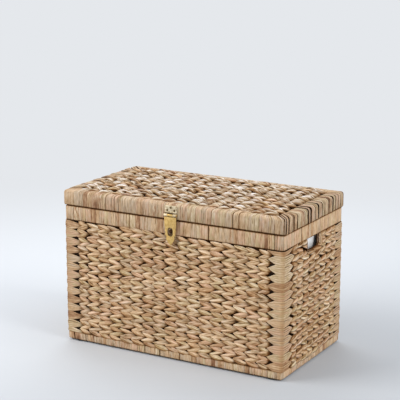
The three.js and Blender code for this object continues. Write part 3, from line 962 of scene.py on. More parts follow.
@dataclass(frozen=True)
class StitchShape:
    """One twined stitch: a leaf from the nose, beside a stake, to the tail that dives behind the next one.

    Each list has a value for each ring: place along the row as a share of the pitch, depth from the face,
    places of the two edges across the row from -1 at the pair's middle to 1 at its border, share of the
    thickness, roll in degrees, and how much painted shade the ring gets where it is tucked into the dark.
    """

    thick: float = 2.9
    along: Floats = (0.0, 0.07, 0.2, 0.38, 0.6, 0.8, 0.97, 1.15, 1.4)
    depth: Floats = (-5.0, -2.0, -0.3, 0.4, 0.4, -0.3, -0.9, -1.9, -5.4)
    inner: Floats = (-0.95, -1.14, -1.34, -1.43, -1.42, -1.26, -0.84, -0.5, 0.3)
    outer: Floats = (-0.7, -0.34, 0.14, 0.7, 1.18, 1.44, 1.5, 1.42, 1.3)
    fullness: Floats = (0.4, 0.6, 0.78, 0.92, 1.0, 1.0, 0.9, 0.75, 0.6)
    roll: Floats = (10, 14, 16, 14, 9, 2, -4, -6, -6)
    tuck: Floats = (0.85, 0.2, 0.0, 0.0, 0.0, 0.0, 0.0, 0.06, 0.6)

    @property
    def across(self) -> Array:
        """Each ring's middle across the row."""
        return (np.array(self.outer) + np.array(self.inner)) / 2

    @property
    def half_width(self) -> Array:
        """Each ring's half width, as a share of half a row."""
        return (np.array(self.outer) - np.array(self.inner)) / 2


@dataclass
class TwinedField:
    """Lays rows of twined stitches, in pairs that lean to each other and make arrowheads.

    Reach gives how far stitches differ in their noses' places, pitch, height, lean, depth, width, thickness,
    roll in degrees and tuck. Waves gives the height and length of each wave in a row, and how far it shifts
    from row to row. Tone gives the middle and the spread of the strands' numbers.
    """

    shape: StitchShape
    row_height: float
    seed: int
    sway: float
    disorder: float
    unevenness: float = 0.6
    reach: Floats = (2.4, 3.0, 0.7, 0.12, 1.0, 0.1, 0.15, 7.0, 0.1)
    waves: tuple[tuple[float, float, float], ...] = ((1.3, 95.0, 0.35), (0.8, 41.0, -0.5))
    tone: Pair = (0.45, 0.26)

    def stitches(self, noses: Array, row_of: Array, pitch: Array) -> dict[str, Array]:
        """Lays stitches in the field's own flat frame, with a little disorder.

        Args:
            noses: Where each stitch's nose comes out, along its row.
            row_of: Each stitch's row, counted from the top.
            pitch: Distance from each nose to the next one in its row.

        Returns:
            Arrays by name: along, out, up (down from the field's top is negative), half_width, half_thick,
            roll, tuck and number.
        """
        random = np.random.default_rng(self.seed)
        count = len(noses)
        shape = self.shape
        half_row = self.row_height / 2
        lean = np.where(row_of % 2 == 1, 1.0, -1.0)[:, None]
        row = row_of[:, None]
        wobble = random.uniform(-1, 1, (len(self.reach), count, 1)) * self.disorder
        nose, stretch, rise, tilt, deep, wide, thick, turn, dim = wobble * np.array(self.reach)[:, None, None]
        phase = random.uniform(0, 2 * math.pi, len(self.waves))
        along = noses[:, None] + nose + np.array(shape.along) * (pitch[:, None] + stretch)
        wave = sum(height * np.sin(along / length + shift * row + start)
                   for (height, length, shift), start in zip(self.waves, phase))
        lift = lean * half_row * shape.across * (1 + tilt)
        return {
            "along": along,
            "out": np.array(shape.depth) + self.unevenness * deep,
            "up": -(row + 0.5) * self.row_height + wave * self.sway + rise + lift,
            "half_width": half_row * shape.half_width * (1 + wide),
            "half_thick": shape.thick * np.array(shape.fullness) * (1 + thick),
            "roll": np.radians(np.array(shape.roll) * lean + turn),
            "tuck": np.clip(np.array(shape.tuck) + dim, 0, 1),
            "number": np.mod(random.normal(*self.tone, count), 1.0),
        }


STAKE_WIDTH = 9.0
STAKE_THICK = 2.0


def lay_stakes(name: str, half: Pair, place: Array,
               turn: tuple[float, float, float] = (0.0, 0.0, 0.0)) -> bpy.types.Object:
    """Lays a thin sheet of stakes side by side, which stitches are twined round.

    Args:
        name: The piece's name.
        half: Half its length, across the stakes, and half its height.
        place: Its middle.
        turn: How it is turned from lying flat.

    Returns:
        The sheet, still without its thickness.
    """
    bpy.ops.object.select_all(action="DESELECT")
    columns = 2 * round(half[0] / STAKE_WIDTH)
    bpy.ops.mesh.primitive_grid_add(x_subdivisions=columns, y_subdivisions=1, size=2.0)
    return settle(name, scale=(half[0] * MM, half[1] * MM, 1.0), rotation_euler=turn,
                  location=tuple(place * MM))


@dataclass(frozen=True)
class CornerShape:
    """How a corner's strands end: rings from the end, wander, how the ends lie and dive, and painted shade.
    """

    tip: Floats
    wander: Pair
    offset: float
    rest: float
    dive: float
    dive_rate: float
    shade_rate: float


class CornerEnd(Enum):
    """The two kinds of corner: teeth over the last stitches, or wedges under the first noses."""

    TEETH = CornerShape((0.0, 3.0, 8.0, 15.0, 24.0), wander=(2.5, 5.0), offset=0.0, rest=0.9, dive=1.6,
                        dive_rate=3.0, shade_rate=8.0)
    WEDGES = CornerShape((0.0, 6.0, 14.0, 24.0, 36.0), wander=(2.5, 2.5), offset=0.5, rest=-0.2, dive=7.0,
                         dive_rate=0.8, shade_rate=1.2)


@dataclass
class BodyWeave:
    """The woven walls between the rim and the base, and the level strands round the corner columns.

    On each side the noses point to one corner. That corner's strands end in wedges, short of the first
    noses, and the strands of the corner at the other end have noses of their own, which stand over the last
    stitches as teeth. A pair of values is for the long and for the short sides, apart from a tone, which has
    a middle and a spread, and a corner's bend shade, painted where its strands turn, which has a darkness
    and a width. Corner_reach is how far a corner's strands differ in height, depth, width, roll in degrees
    and tone.
    """

    finishes: Finishes
    wall: Wall
    top: float
    bottom: float
    rows: int = 27
    pitch: float = 36.9
    edge_pitch: float = 28.8
    first_nose: float = 42.5
    sway: Pair = (1.6, 2.4)
    disorder: Pair = (1.35, 1.5)
    tooth: Pair = (48.0, 60.0)
    tooth_tip: Pair = (25.0, 26.0)
    tooth_lap: float = 14.0
    wedge_length: float = 25.0
    wedge_under: float = 14.0
    wedge_pinch: Pair = (0.49, 0.33)
    bundle_strands: int = 4
    bundle_width: float = 0.72
    bundle_thick: float = 2.2
    bundle_dome: float = 0.9
    bundle_sway: float = 0.8
    bundle_wave: float = 30.0
    corner_reach: Floats = (0.3, 0.25, 0.12, 6.0, 0.08)
    corner_tone: Pair = (0.42, 0.4)
    corner_bend_shade: Pair = (0.3, 8.0)
    corner_end_shade: float = 0.8
    corner_bend: Floats = (-9.0, -4.5, 0.0, 4.5, 9.0)
    core_depth: float = 11.0
    hole_half: float = 43.0
    hole_height: float = 35.0
    jamb_rows: int = 3
    jamb_lap: float = 2.0
    jamb_dive: float = 4.5
    jamb_ease: float = 7.0
    hole_slack: float = 4.0
    row_sink: float = 4.5
    sink_width: float = 60.0
    sink_drop: float = 14.0
    sink_fade: float = 28.0
    notch_shade: float = 0.95
    notch_start: float = 2.0
    notch_ease: float = 6.0
    binding_depths: Floats = (-0.4, -5.2, -10.4)
    binding_leans: Floats = (0.8, 0.2, 0.0)
    sill_drops: Floats = (6.0, 4.4, 4.6)
    jamb_offsets: Floats = (3.0, 1.8, 2.0)
    binding_lap: float = 9.0
    binding_dive: float = 1.8
    binding_end_shade: float = 0.35
    binding_tone: Pair = (0.4, 0.2)
    binding_half: float = 4.0
    binding_thick: float = 2.4
    field_seed: int = 100
    corner_seed: int = 200
    binding_seed: int = 500
    leaf_press: float = 4.4
    leaf_margin: float = 10.0
    shapes: tuple[StitchShape, StitchShape] = (
        StitchShape(), StitchShape(inner=(-0.95, -1.12, -1.29, -1.36, -1.33, -1.14, -0.68, -0.32, 0.45)))
    blank: StrandBlank = StrandBlank(9, STITCH_PROFILE)
    corner_blank: StrandBlank = StrandBlank(15, LEVEL_PROFILE)

    @property
    def row_height(self) -> float:
        """Height of one row of stitches."""
        return (self.top - self.bottom) / self.rows

    def noses_on(self, side: Side) -> tuple[Array, Array]:
        """Spaces the noses of one row, from the corner that they point to.

        Args:
            side: The side that the row is on.

        Returns:
            The noses' places along the side, and each one's pitch.
        """
        length = self.wall.lengths[side.value]
        inner = length - self.first_nose - self.tooth[side.is_short] - 2 * self.edge_pitch
        count = round(inner / self.pitch)
        pitches = np.array([self.edge_pitch] + [inner / count] * count + [self.edge_pitch])
        return self.first_nose + np.concatenate([[0], np.cumsum(pitches)[:-1]]), pitches

    def clear_hole(self, laid: dict[str, Array], rows: Array, middle: float) -> None:
        """Ends the strands beside a hand hole behind the strands that bind its jambs.

        Args:
            laid: The side's strands, changed in place.
            rows: Each strand's row.
            middle: The hole's middle along the side.
        """
        along = laid["along"]
        beside = (rows < self.jamb_rows)[:, None]
        far = np.where(along[:, 4:5] > middle, 1.0, -1.0)
        reach = far * (along - middle)
        edge = self.hole_half + self.jamb_lap
        dive = self.jamb_dive * smoothstep((edge + self.jamb_ease - reach) / self.jamb_ease)
        laid["along"] = np.where(beside, middle + far * np.maximum(reach, edge), along)
        laid["out"] = np.where(beside, laid["out"] - dive, laid["out"])

    def bend_rows(self, side: Side, laid: dict[str, Array]) -> None:
        """Lets the rows just under a hand hole sink before it and rise beyond it.

        Args:
            side: The side with the hole.
            laid: The side's strands, changed in place.
        """
        right = side.way * (laid["along"] - self.wall.lengths[side.value] / 2)
        drop = -laid["up"] - self.hole_height
        near = np.exp(-((drop - self.sink_drop) / self.sink_fade) ** 2)
        laid["up"] += self.row_sink * np.tanh(right / self.sink_width) * near

    def press_leaf(self, laid: dict[str, Array]) -> None:
        """Presses the front's stitches in behind the hasp's tip, which swings home against them.

        Args:
            laid: The front's strands, changed in place.
        """
        low, high = node_box("hasp_leaf")
        middle, half = (low[0] + high[0]) / 2, (high[0] - low[0]) / 2
        beside = np.abs(laid["along"] - self.wall.half_length - middle) - half
        below = low[2] - self.top - laid["up"]
        laid["out"] -= self.leaf_press * (1 - smoothstep(np.maximum(beside, below) / self.leaf_margin))

    def build_field(self, side: Side) -> None:
        """Lays the stitches of one side's field.

        Args:
            side: The side.
        """
        short = side.is_short
        noses, pitches = self.noses_on(side)
        length, start = self.wall.lengths[side.value], self.wall.starts[side.value]
        rows = np.repeat(np.arange(self.rows), len(noses))
        places, pitch = np.tile(noses, self.rows), np.tile(pitches, self.rows)
        if short:
            body = places + pitch * self.shapes[0].along[4]
            keep = (np.abs(body - length / 2) > self.hole_half - self.hole_slack) | (rows >= self.jamb_rows)
            rows, places, pitch = rows[keep], places[keep], pitch[keep]
        weave = TwinedField(self.shapes[short], self.row_height, self.field_seed + side.value,
                            self.sway[short], self.disorder[short])
        laid = weave.stitches(places, rows, pitch)
        if short:
            self.bend_rows(side, laid)
            self.clear_hole(laid, rows, length / 2)
        if side is Side.FRONT:
            self.press_leaf(laid)
        # Painted shade: the last tails darken past the notch, where they go under the teeth.
        notch = length - self.tooth[short]
        past = smoothstep((laid["along"] - notch - self.notch_start) / self.notch_ease)
        laid["tuck"] = np.maximum(laid["tuck"], self.notch_shade * past)
        laid["along"] = np.minimum(laid["along"], notch + self.tooth_lap)
        along = start + (laid["along"] if side.way > 0 else length - laid["along"])
        centre, outward = self.wall.place(along, laid["out"], self.top + laid["up"])
        run = StrandRun(centre, outward, laid["half_width"], laid["half_thick"], side.way * laid["roll"],
                        laid["tuck"], laid["number"])
        piece = run.piece(f"{side.label}_weave", self.blank)
        fit_out(piece, Body.CHEST, self.finishes.woven, (f"{side.label}_panel",))

    def corner_lay(self, end: CornerEnd, shared: Array) -> tuple[Array, Array, Array]:
        """Lays the strands of a corner along the wall.

        Args:
            end: How they end.
            shared: Three random values for each strand, shared by its bundle.

        Returns:
            Each ring's place from the corner, the share of its full width that the bundle has there, and how
            far the ring is from either end, as a share of the tip.
        """
        toothed = end is CornerEnd.TEETH
        near, far = self.tooth if toothed else (self.first_nose + self.wedge_under,) * 2
        begin, finish = -near + end.value.wander[0] * shared[0], far + end.value.wander[1] * shared[1]
        tip = np.array(end.value.tip)
        bend = np.array(self.corner_bend)
        along = np.concatenate([begin + tip, bend + np.zeros_like(begin), finish - tip[::-1]], axis=1)
        if toothed:
            ease = np.minimum((along - begin) / self.tooth_tip[0], (finish - along) / self.tooth_tip[1])
            return along, np.clip(ease, 0.04, 1) ** 0.95, ease
        inside = np.minimum(along - begin, finish - along)
        closed = np.clip((inside - self.wedge_under) / self.wedge_length, 0, 1)
        pinch = np.where(along < 0, self.wedge_pinch[1], self.wedge_pinch[0])
        return along, 1 - pinch * (1 - closed), inside / self.wedge_under

    def build_corner(self, label: str, corner: int, end: CornerEnd) -> None:
        """Lays the bundles that run level round one corner column.

        Args:
            label: The corner's name, as the frame's nodes spell it.
            corner: The side that starts at it.
            end: How its strands end.
        """
        random = np.random.default_rng(self.corner_seed + corner)
        pairs = (self.rows + 1) // 2
        bundle = np.repeat(np.arange(pairs), self.bundle_strands)
        spot = np.tile(np.arange(self.bundle_strands) - (self.bundle_strands - 1) / 2, pairs)
        shown = (bundle > 0) | (spot < 0) if end is CornerEnd.TEETH else (bundle < pairs - 1) | (spot > 0)
        bundle, spot = bundle[shown], spot[shown, None]
        reach = np.array(self.corner_reach)[:, None, None]
        rise, deep, wide, turn, hue = random.uniform(-1, 1, (len(reach), len(bundle), 1)) * reach
        shared = random.uniform(-1, 1, (3, pairs, 1))[:, bundle]
        along, fan, ease = self.corner_lay(end, shared)
        shape = end.value
        pair_height = 2 * self.row_height
        gap = pair_height / self.bundle_strands
        level = -(bundle[:, None] + shape.offset) * pair_height
        dive = shape.dive * (1 - smoothstep(ease * shape.dive_rate))
        out = shape.rest - dive - self.bundle_dome * (np.abs(spot) - 0.5) + deep
        sway = self.bundle_sway * shared[2] * np.sin(along / self.bundle_wave) + rise
        centre, outward = self.wall.place(self.wall.starts[corner] + along, out,
                                          self.top + level + spot * gap * fan + sway)
        # Painted shade where the strands bend round the corner, and where their ends dive in.
        fold = self.corner_bend_shade[0] * np.exp(-(along / self.corner_bend_shade[1]) ** 2)
        dark = self.corner_end_shade * (1 - smoothstep(ease * shape.shade_rate))
        tone = self.corner_tone[0] + self.corner_tone[1] * shared[0] + hue
        run = StrandRun(centre, outward, self.bundle_width * gap * (0.2 + 0.8 * fan) * (1 + wide),
                        self.bundle_thick * (0.5 + 0.5 * fan), np.radians(turn + np.zeros_like(along)),
                        np.clip(fold + dark, 0, 1), np.mod(tone[:, 0], 1.0))
        piece = run.piece(f"{label}_corner_strands", self.corner_blank)
        fit_out(piece, Body.CHEST, self.finishes.level, (f"{label}_corner_wrap",))

    def build_hole_binding(self, side: Side) -> None:
        """Binds a hand hole's sill and jambs with strands laid side by side, from the outer face inwards.

        Args:
            side: The side with the hole.
        """
        random = np.random.default_rng(self.binding_seed + side.value)
        share = np.linspace(-1, 1, self.blank.rings)
        ends = smoothstep((np.abs(share) - 0.75) / 0.25)
        depths = np.array(self.binding_depths)[:, None]
        lean = np.array(self.binding_leans)[:, None, None]
        middle = self.wall.starts[side.value] + self.wall.lengths[side.value] / 2
        along = share * (self.hole_half + self.binding_lap) + random.uniform(-2, 2, depths.shape)
        drops = np.array(self.sill_drops)[:, None] + random.uniform(-0.3, 0.3, depths.shape)
        sill = self.top - self.hole_height - (drops + 0.4 * np.sin(3 * share)) - 1.5 * ends
        laid = [(along, sill, np.array([0.0, 0.0, 1.0]))]
        for way in (-1, 1):
            offset = np.array(self.jamb_offsets)[:, None] + random.uniform(-0.3, 0.3, depths.shape)
            beside = way * (self.hole_half + offset + 0.4 * np.sin(2 * share + way))
            level = self.top - self.hole_height / 2 - 1 - share * (self.hole_height / 2 + 1)
            laid.append((beside, level + 0 * beside, -way * side.along))
        centres, faces = [], []
        for along, level, towards in laid:
            centre, outward = self.wall.place(middle + along, depths - self.binding_dive * ends, level)
            centres.append(centre)
            faces.append(outward * lean + towards)
        centre = np.concatenate(centres)
        full = np.ones(centre.shape[:2])
        tone = np.mod(random.normal(*self.binding_tone, len(full)), 1.0)
        # Painted shade at the strands' ends, where they dive in.
        run = StrandRun(centre, np.concatenate(faces), self.binding_half * full, self.binding_thick * full,
                        0.0 * full, self.binding_end_shade * ends * full, tone)
        piece = run.piece(f"{side.label}_hole_binding", self.blank)
        fit_out(piece, Body.CHEST, self.finishes.woven)

    def build_core(self, side: Side) -> None:
        """Stands the stakes behind one side's stitches, and cuts its hand hole out of them.

        Args:
            side: The side.
        """
        low, high = node_box(f"{side.label}_panel")
        half = (high - low) @ np.abs(side.along) / 2
        middle, height = (low[2] + high[2]) / 2, high[2] - low[2]
        reach = self.wall.half_length if side.is_short else self.wall.half_depth
        place = side.outward * (reach - self.core_depth) + np.array([0, 0, middle])
        core = lay_stakes(f"{side.label}_stakes", (half, height / 2), place,
                          (math.pi / 2, 0, side.value * math.pi / 2))
        if side.is_short:
            jamb, sill = self.hole_half * MM, (self.top - self.hole_height) * MM
            bpy.ops.object.mode_set(mode="EDIT")
            for edge in (jamb, -jamb):
                cut_across(tuple(edge * side.along), tuple(side.along))
            cut_across((0, 0, sill), (0, 0, 1))
            pick_faces(core, lambda face: (abs(np.array(face.center) @ side.along) < jamb
                                           and face.center.z > sill))
            bpy.ops.mesh.delete(type="FACE")
            bpy.ops.object.mode_set(mode="OBJECT")
        apply_modifier(core, "SOLIDIFY", thickness=STAKE_THICK * MM, offset=0.0)
        fit_out(core, Body.CHEST, self.finishes.core)

    def build(self) -> None:
        """Lays every field and every corner."""
        for side in Side:
            self.build_field(side)
            self.build_core(side)
            if side.is_short:
                self.build_hole_binding(side)
        for corner, label in enumerate(("front_left", "front_right", "back_right", "back_left")):
            self.build_corner(label, corner, CornerEnd.TEETH if corner % 2 else CornerEnd.WEDGES)


@dataclass
class LidWeave:
    """The woven top of the lid, twined on both its faces. Unevenness is for the lower and the upper face."""

    finishes: Finishes
    low: Array
    high: Array
    rows: int = 18
    pitch: float = 34.6
    proud: float = 2.2
    sunk: float = 1.8
    lap: float = 16.0
    first_nose: float = -6.0
    last_tail: float = 4.0
    seed: int = 300
    unevenness: Pair = (0.6, 1.4)
    sway: float = 1.5
    disorder: float = 1.6
    shape: StitchShape = StitchShape(
        thick=4.6, depth=(-8.0, -4.0, -1.4, 0.3, 0.7, -0.4, -2.6, -5.5, -9.0),
        inner=(-0.9, -1.02, -1.1, -1.12, -1.08, -0.95, -0.55, -0.1, 0.5),
        outer=(-0.72, -0.38, 0.04, 0.58, 1.02, 1.22, 1.26, 1.2, 1.1),
        tuck=(1.0, 0.8, 0.3, 0.0, 0.0, 0.1, 0.45, 0.85, 1.0))
    under_shape: StitchShape = StitchShape()
    blank: StrandBlank = StrandBlank(9, DOMED_PROFILE)

    def run(self, upper: bool) -> StrandRun:
        """Lays the stitches of one face.

        Args:
            upper: Whether it is the upper face.

        Returns:
            The stitches.
        """
        lap = self.lap if upper else 0.0
        length, depth = (self.high - self.low)[:2] + np.array([0.0, 2 * lap])
        count = round(length / self.pitch)
        pitch = length / count
        noses = np.tile(self.low[0] + self.first_nose + pitch * np.arange(count), self.rows)
        rows = np.repeat(np.arange(self.rows), count)
        shape = self.shape if upper else self.under_shape
        weave = TwinedField(shape, depth / self.rows, self.seed + upper, self.sway, self.disorder,
                            self.unevenness[upper])
        laid = weave.stitches(noses, rows, np.full(len(noses), pitch))
        along = np.minimum(laid["along"], self.high[0] + self.last_tail)
        way = 1.0 if upper else -1.0
        face = self.high[2] + self.proud if upper else self.low[2] - self.proud
        edge = self.high[1] + lap if upper else self.low[1]
        centre = np.stack([along, edge + way * laid["up"], face + way * (laid["out"] - self.sunk)], axis=-1)
        outward = np.zeros_like(centre)
        outward[..., 2] = way
        return StrandRun(centre, outward, laid["half_width"], laid["half_thick"], laid["roll"], laid["tuck"],
                         laid["number"])

    def build(self) -> None:
        """Makes the two faces, and the stakes between them that both are twined round."""
        top = self.run(True).piece("lid_weave", self.blank)
        fit_out(top, Body.LID, self.finishes.sheen_painted, ("lid_panel",))
        under = self.run(False).piece("lid_weave_underside", self.blank)
        fit_out(under, Body.LID, self.finishes.woven)
        half = (self.high - self.low) / 2
        core = lay_stakes("lid_stakes", (half[0], half[1]), (self.high + self.low) / 2)
        apply_modifier(core, "SOLIDIFY", thickness=STAKE_THICK * MM, offset=0.0)
        fit_out(core, Body.LID, self.finishes.core)


@dataclass(frozen=True)
class Winding:
    """How the strips of one rail lie: width, share and width of open seams, unevenness, bow and slant."""

    strip_width: float = 12.0
    seam_share: float = 0.13
    seam_gap: Pair = (0.6, 1.6)
    unevenness: float = 0.25
    bow: float = 0.8
    slant: float = 3.0


@dataclass
class WoundBand:
    """A ring of rails wound with flat strips of strand, each strip once round its rail.

    The dark_top and dark_bottom paint shade on the upper and lower edges, where they meet another piece.
    Within the distance fan of a corner, strips are drawn in to meet at the mitre. Overlap is for closed and
    open seams.
    """

    finishes: Finishes
    label: str
    body: Body
    seed: int
    half_length: float
    half_depth: float
    width: float
    bottom: float
    top: float
    dark_top: float
    dark_bottom: float
    top_round: float = 3.5
    long_winding: Winding = Winding()
    short_winding: Winding = Winding()
    edge_round: float = 4.3
    thick: float = 1.1
    width_spread: Pair = (0.35, 1.75)
    overlap: Pair = (0.8, 0.2)
    closed_seam_shade: Pair = (0.0, 0.15)
    open_seam_shade: Pair = (0.6, 1.0)
    tone: Pair = (0.42, 0.2)
    lean_wave: float = 57.0
    lean_spread: float = 0.8
    bedding: float = 0.1
    fan: float = 110.0
    corner_round: float = 8.0
    corner_gap: float = 0.1
    closed_gap: float = 0.1
    open_gap: float = 0.5
    inner_lap: float = 4.0
    inner_shade: float = 0.6

    @classmethod
    def on_frame(cls, finishes: Finishes, label: str, body: Body, seed: int, overhang: float = 0.0,
                 **looks: object) -> WoundBand:
        """Takes a band's sizes from the frame.

        Args:
            finishes: The trunk's materials.
            label: The band's name, as the frame's nodes spell it.
            body: The body it moves with.
            seed: The start of its random draws.
            overhang: How far the strips stand past the rails' ends.
            looks: The band's other fields.

        Returns:
            The band.
        """
        low, high = node_box(f"front_{label}_wrap")
        _, side_high = node_box(f"right_{label}_wrap")
        return cls(finishes, label, body, seed, side_high[0] + overhang, -low[1], high[1] - low[1], low[2],
                   high[2], **looks)

    def section(self) -> tuple[Array, Array, Array]:
        """Follows the rail's section from its inner lower edge, up the outer face and over the top.

        Returns:
            Points as inset from the outer face and height, the outward direction at each, and its painted
            shade.
        """
        corners = (
            (0.0, self.bottom, self.edge_round, (270, 225, 180), self.dark_bottom, (1.0, 0.9, 0.15)),
            (0.0, self.top, self.top_round, (180, 150, 120, 90), self.dark_top, (0.1, 0.5, 0.95, 1.0)),
            (self.width, self.top, self.edge_round, (90, 45, 0), 0.4, (0.3, 0.7, 1.0)),
        )
        points = [(self.width - self.inner_lap, self.bottom + self.thick)]
        normals = [(0.0, -1.0)]
        edge_shades = [self.inner_shade]
        for inset, level, radius, angles, dark, shares in corners:
            across = inset + radius if inset == 0 else inset - radius
            up = level + radius if level == self.bottom else level - radius
            reach = max(radius - self.thick, 0.3)
            for angle, share in zip(np.radians(angles), shares):
                way = (math.cos(angle), math.sin(angle))
                points.append((across + reach * way[0], up + reach * way[1]))
                normals.append(way)
                edge_shades.append(dark * share)
        points.append((self.width - self.thick, self.bottom + self.inner_lap))
        normals.append((1.0, 0.0))
        edge_shades.append(self.inner_shade)
        return np.array(points), np.array(normals), np.array(edge_shades)

    def turn_corner(self, along: Array, inset: Array, half: float) -> tuple[Array, Array]:
        """Draws the strips in to the mitres at a rail's ends, and rounds the trunk's corners.

        Args:
            along: The corners' places along the rail, from its middle.
            inset: Their distance in from the outer face.
            half: Half the rail's length.

        Returns:
            The new places along and the new insets.
        """
        within = np.clip(inset, 0, None)
        along = along - np.sign(along) * within * smoothstep((np.abs(along) - (half - self.fan)) / self.fan)
        along = np.clip(along, within - half, half - within)
        to_side = np.clip(self.corner_round - (half - np.abs(along)), 0, None)
        to_face = np.clip(self.corner_round - inset, 0, None)
        shrink = np.maximum(to_side, to_face) / np.maximum(np.hypot(to_side, to_face), 1e-6)
        rounded = (to_side > 0) & (to_face > 0)
        along = np.where(rounded, np.sign(along) * (half - self.corner_round + to_side * shrink), along)
        return along, np.where(rounded, self.corner_round - to_face * shrink, inset)

    def cut_strips(self, random: np.random.Generator, winding: Winding, half: float) -> tuple[Array, Array]:
        """Cuts strips of uneven widths that fill a rail.

        Args:
            random: The rail's own random draws.
            winding: How its strips lie.
            half: Half its length.

        Returns:
            The strips' widths, and the width of the seam after each.
        """
        widths = []
        while sum(widths) < 2 * half:
            widths.append(winding.strip_width * random.uniform(*self.width_spread))
        widths = np.array(widths) * (2 * half / sum(widths))
        count = len(widths)
        seams = np.where(random.random(count) < winding.seam_share, random.uniform(*winding.seam_gap, count),
                         self.closed_gap)
        seams[-1] = self.corner_gap
        return widths, seams

    def build_side(self, side: Side) -> None:
        """Winds the strips of one rail.

        Args:
            side: The side that the rail is on.
        """
        random = np.random.default_rng(self.seed + side.value)
        sizes = (self.half_length, self.half_depth)
        reach, half = sizes if side.is_short else sizes[::-1]
        winding = self.short_winding if side.is_short else self.long_winding
        points, normals, edge_shades = self.section()
        widths, seams = self.cut_strips(random, winding, half)
        count = len(widths)
        is_open = seams > self.open_gap
        middle = -half + np.cumsum(widths) - widths / 2 - seams / 2
        half_width = (widths - seams) / 2 + np.where(is_open, self.overlap[1], self.overlap[0])
        wobble = random.uniform(-1, 1, (3, count, 1))
        sway = np.linspace(-1, 1, len(points))[None, :]
        blank = StrandBlank(len(points), STRIP_PROFILE).model()
        ring = blank.ring
        lean = winding.slant * np.sin(middle / self.lean_wave + self.seed)[:, None]
        lean = lean + self.lean_spread * wobble[0]
        along = middle[:, None] + lean * sway + winding.bow * wobble[2] * (1 - 2 * sway ** 2)
        rise = winding.unevenness * wobble[1] - self.bedding + self.thick * blank.above
        across = half_width[:, None] * blank.across
        inset = points[ring, 0] + normals[ring, 0] * rise
        along, inset = self.turn_corner(along[:, ring] - across, inset, half)
        places = side.outward * (reach - inset)[..., None] + side.along * along[..., None]
        places[..., 2] = points[ring, 1] + normals[ring, 1] * rise
        steps = np.linalg.norm(np.diff(points, axis=0), axis=1)
        run = np.concatenate([[0], np.cumsum(steps)])[ring]
        number = np.mod(random.normal(*self.tone, count), 1.0)
        # Painted shade in the seams: deep in open ones, faint in closed ones.
        depth = np.where(is_open, random.uniform(*self.open_seam_shade, count),
                         random.uniform(*self.closed_seam_shade, count))
        edge = np.where(blank.across < 0, depth[:, None], np.roll(depth, 1)[:, None])
        tuck = np.maximum(edge_shades[ring], edge * blank.shade)
        lay = (run * MM, across * MM, number[:, None])
        piece = strand_mesh(f"{side.label}_{self.label}_strips", places, lay, tuck, blank.faces)
        lid_finish = self.finishes.ribbed if side.is_short else self.finishes.wound
        material = lid_finish if self.body is Body.LID else self.finishes.band_lightened
        fit_out(piece, self.body, material, (f"{side.label}_{self.label}_wrap",))

    def build(self) -> None:
        """Winds all four rails."""
        for side in Side:
            self.build_side(side)


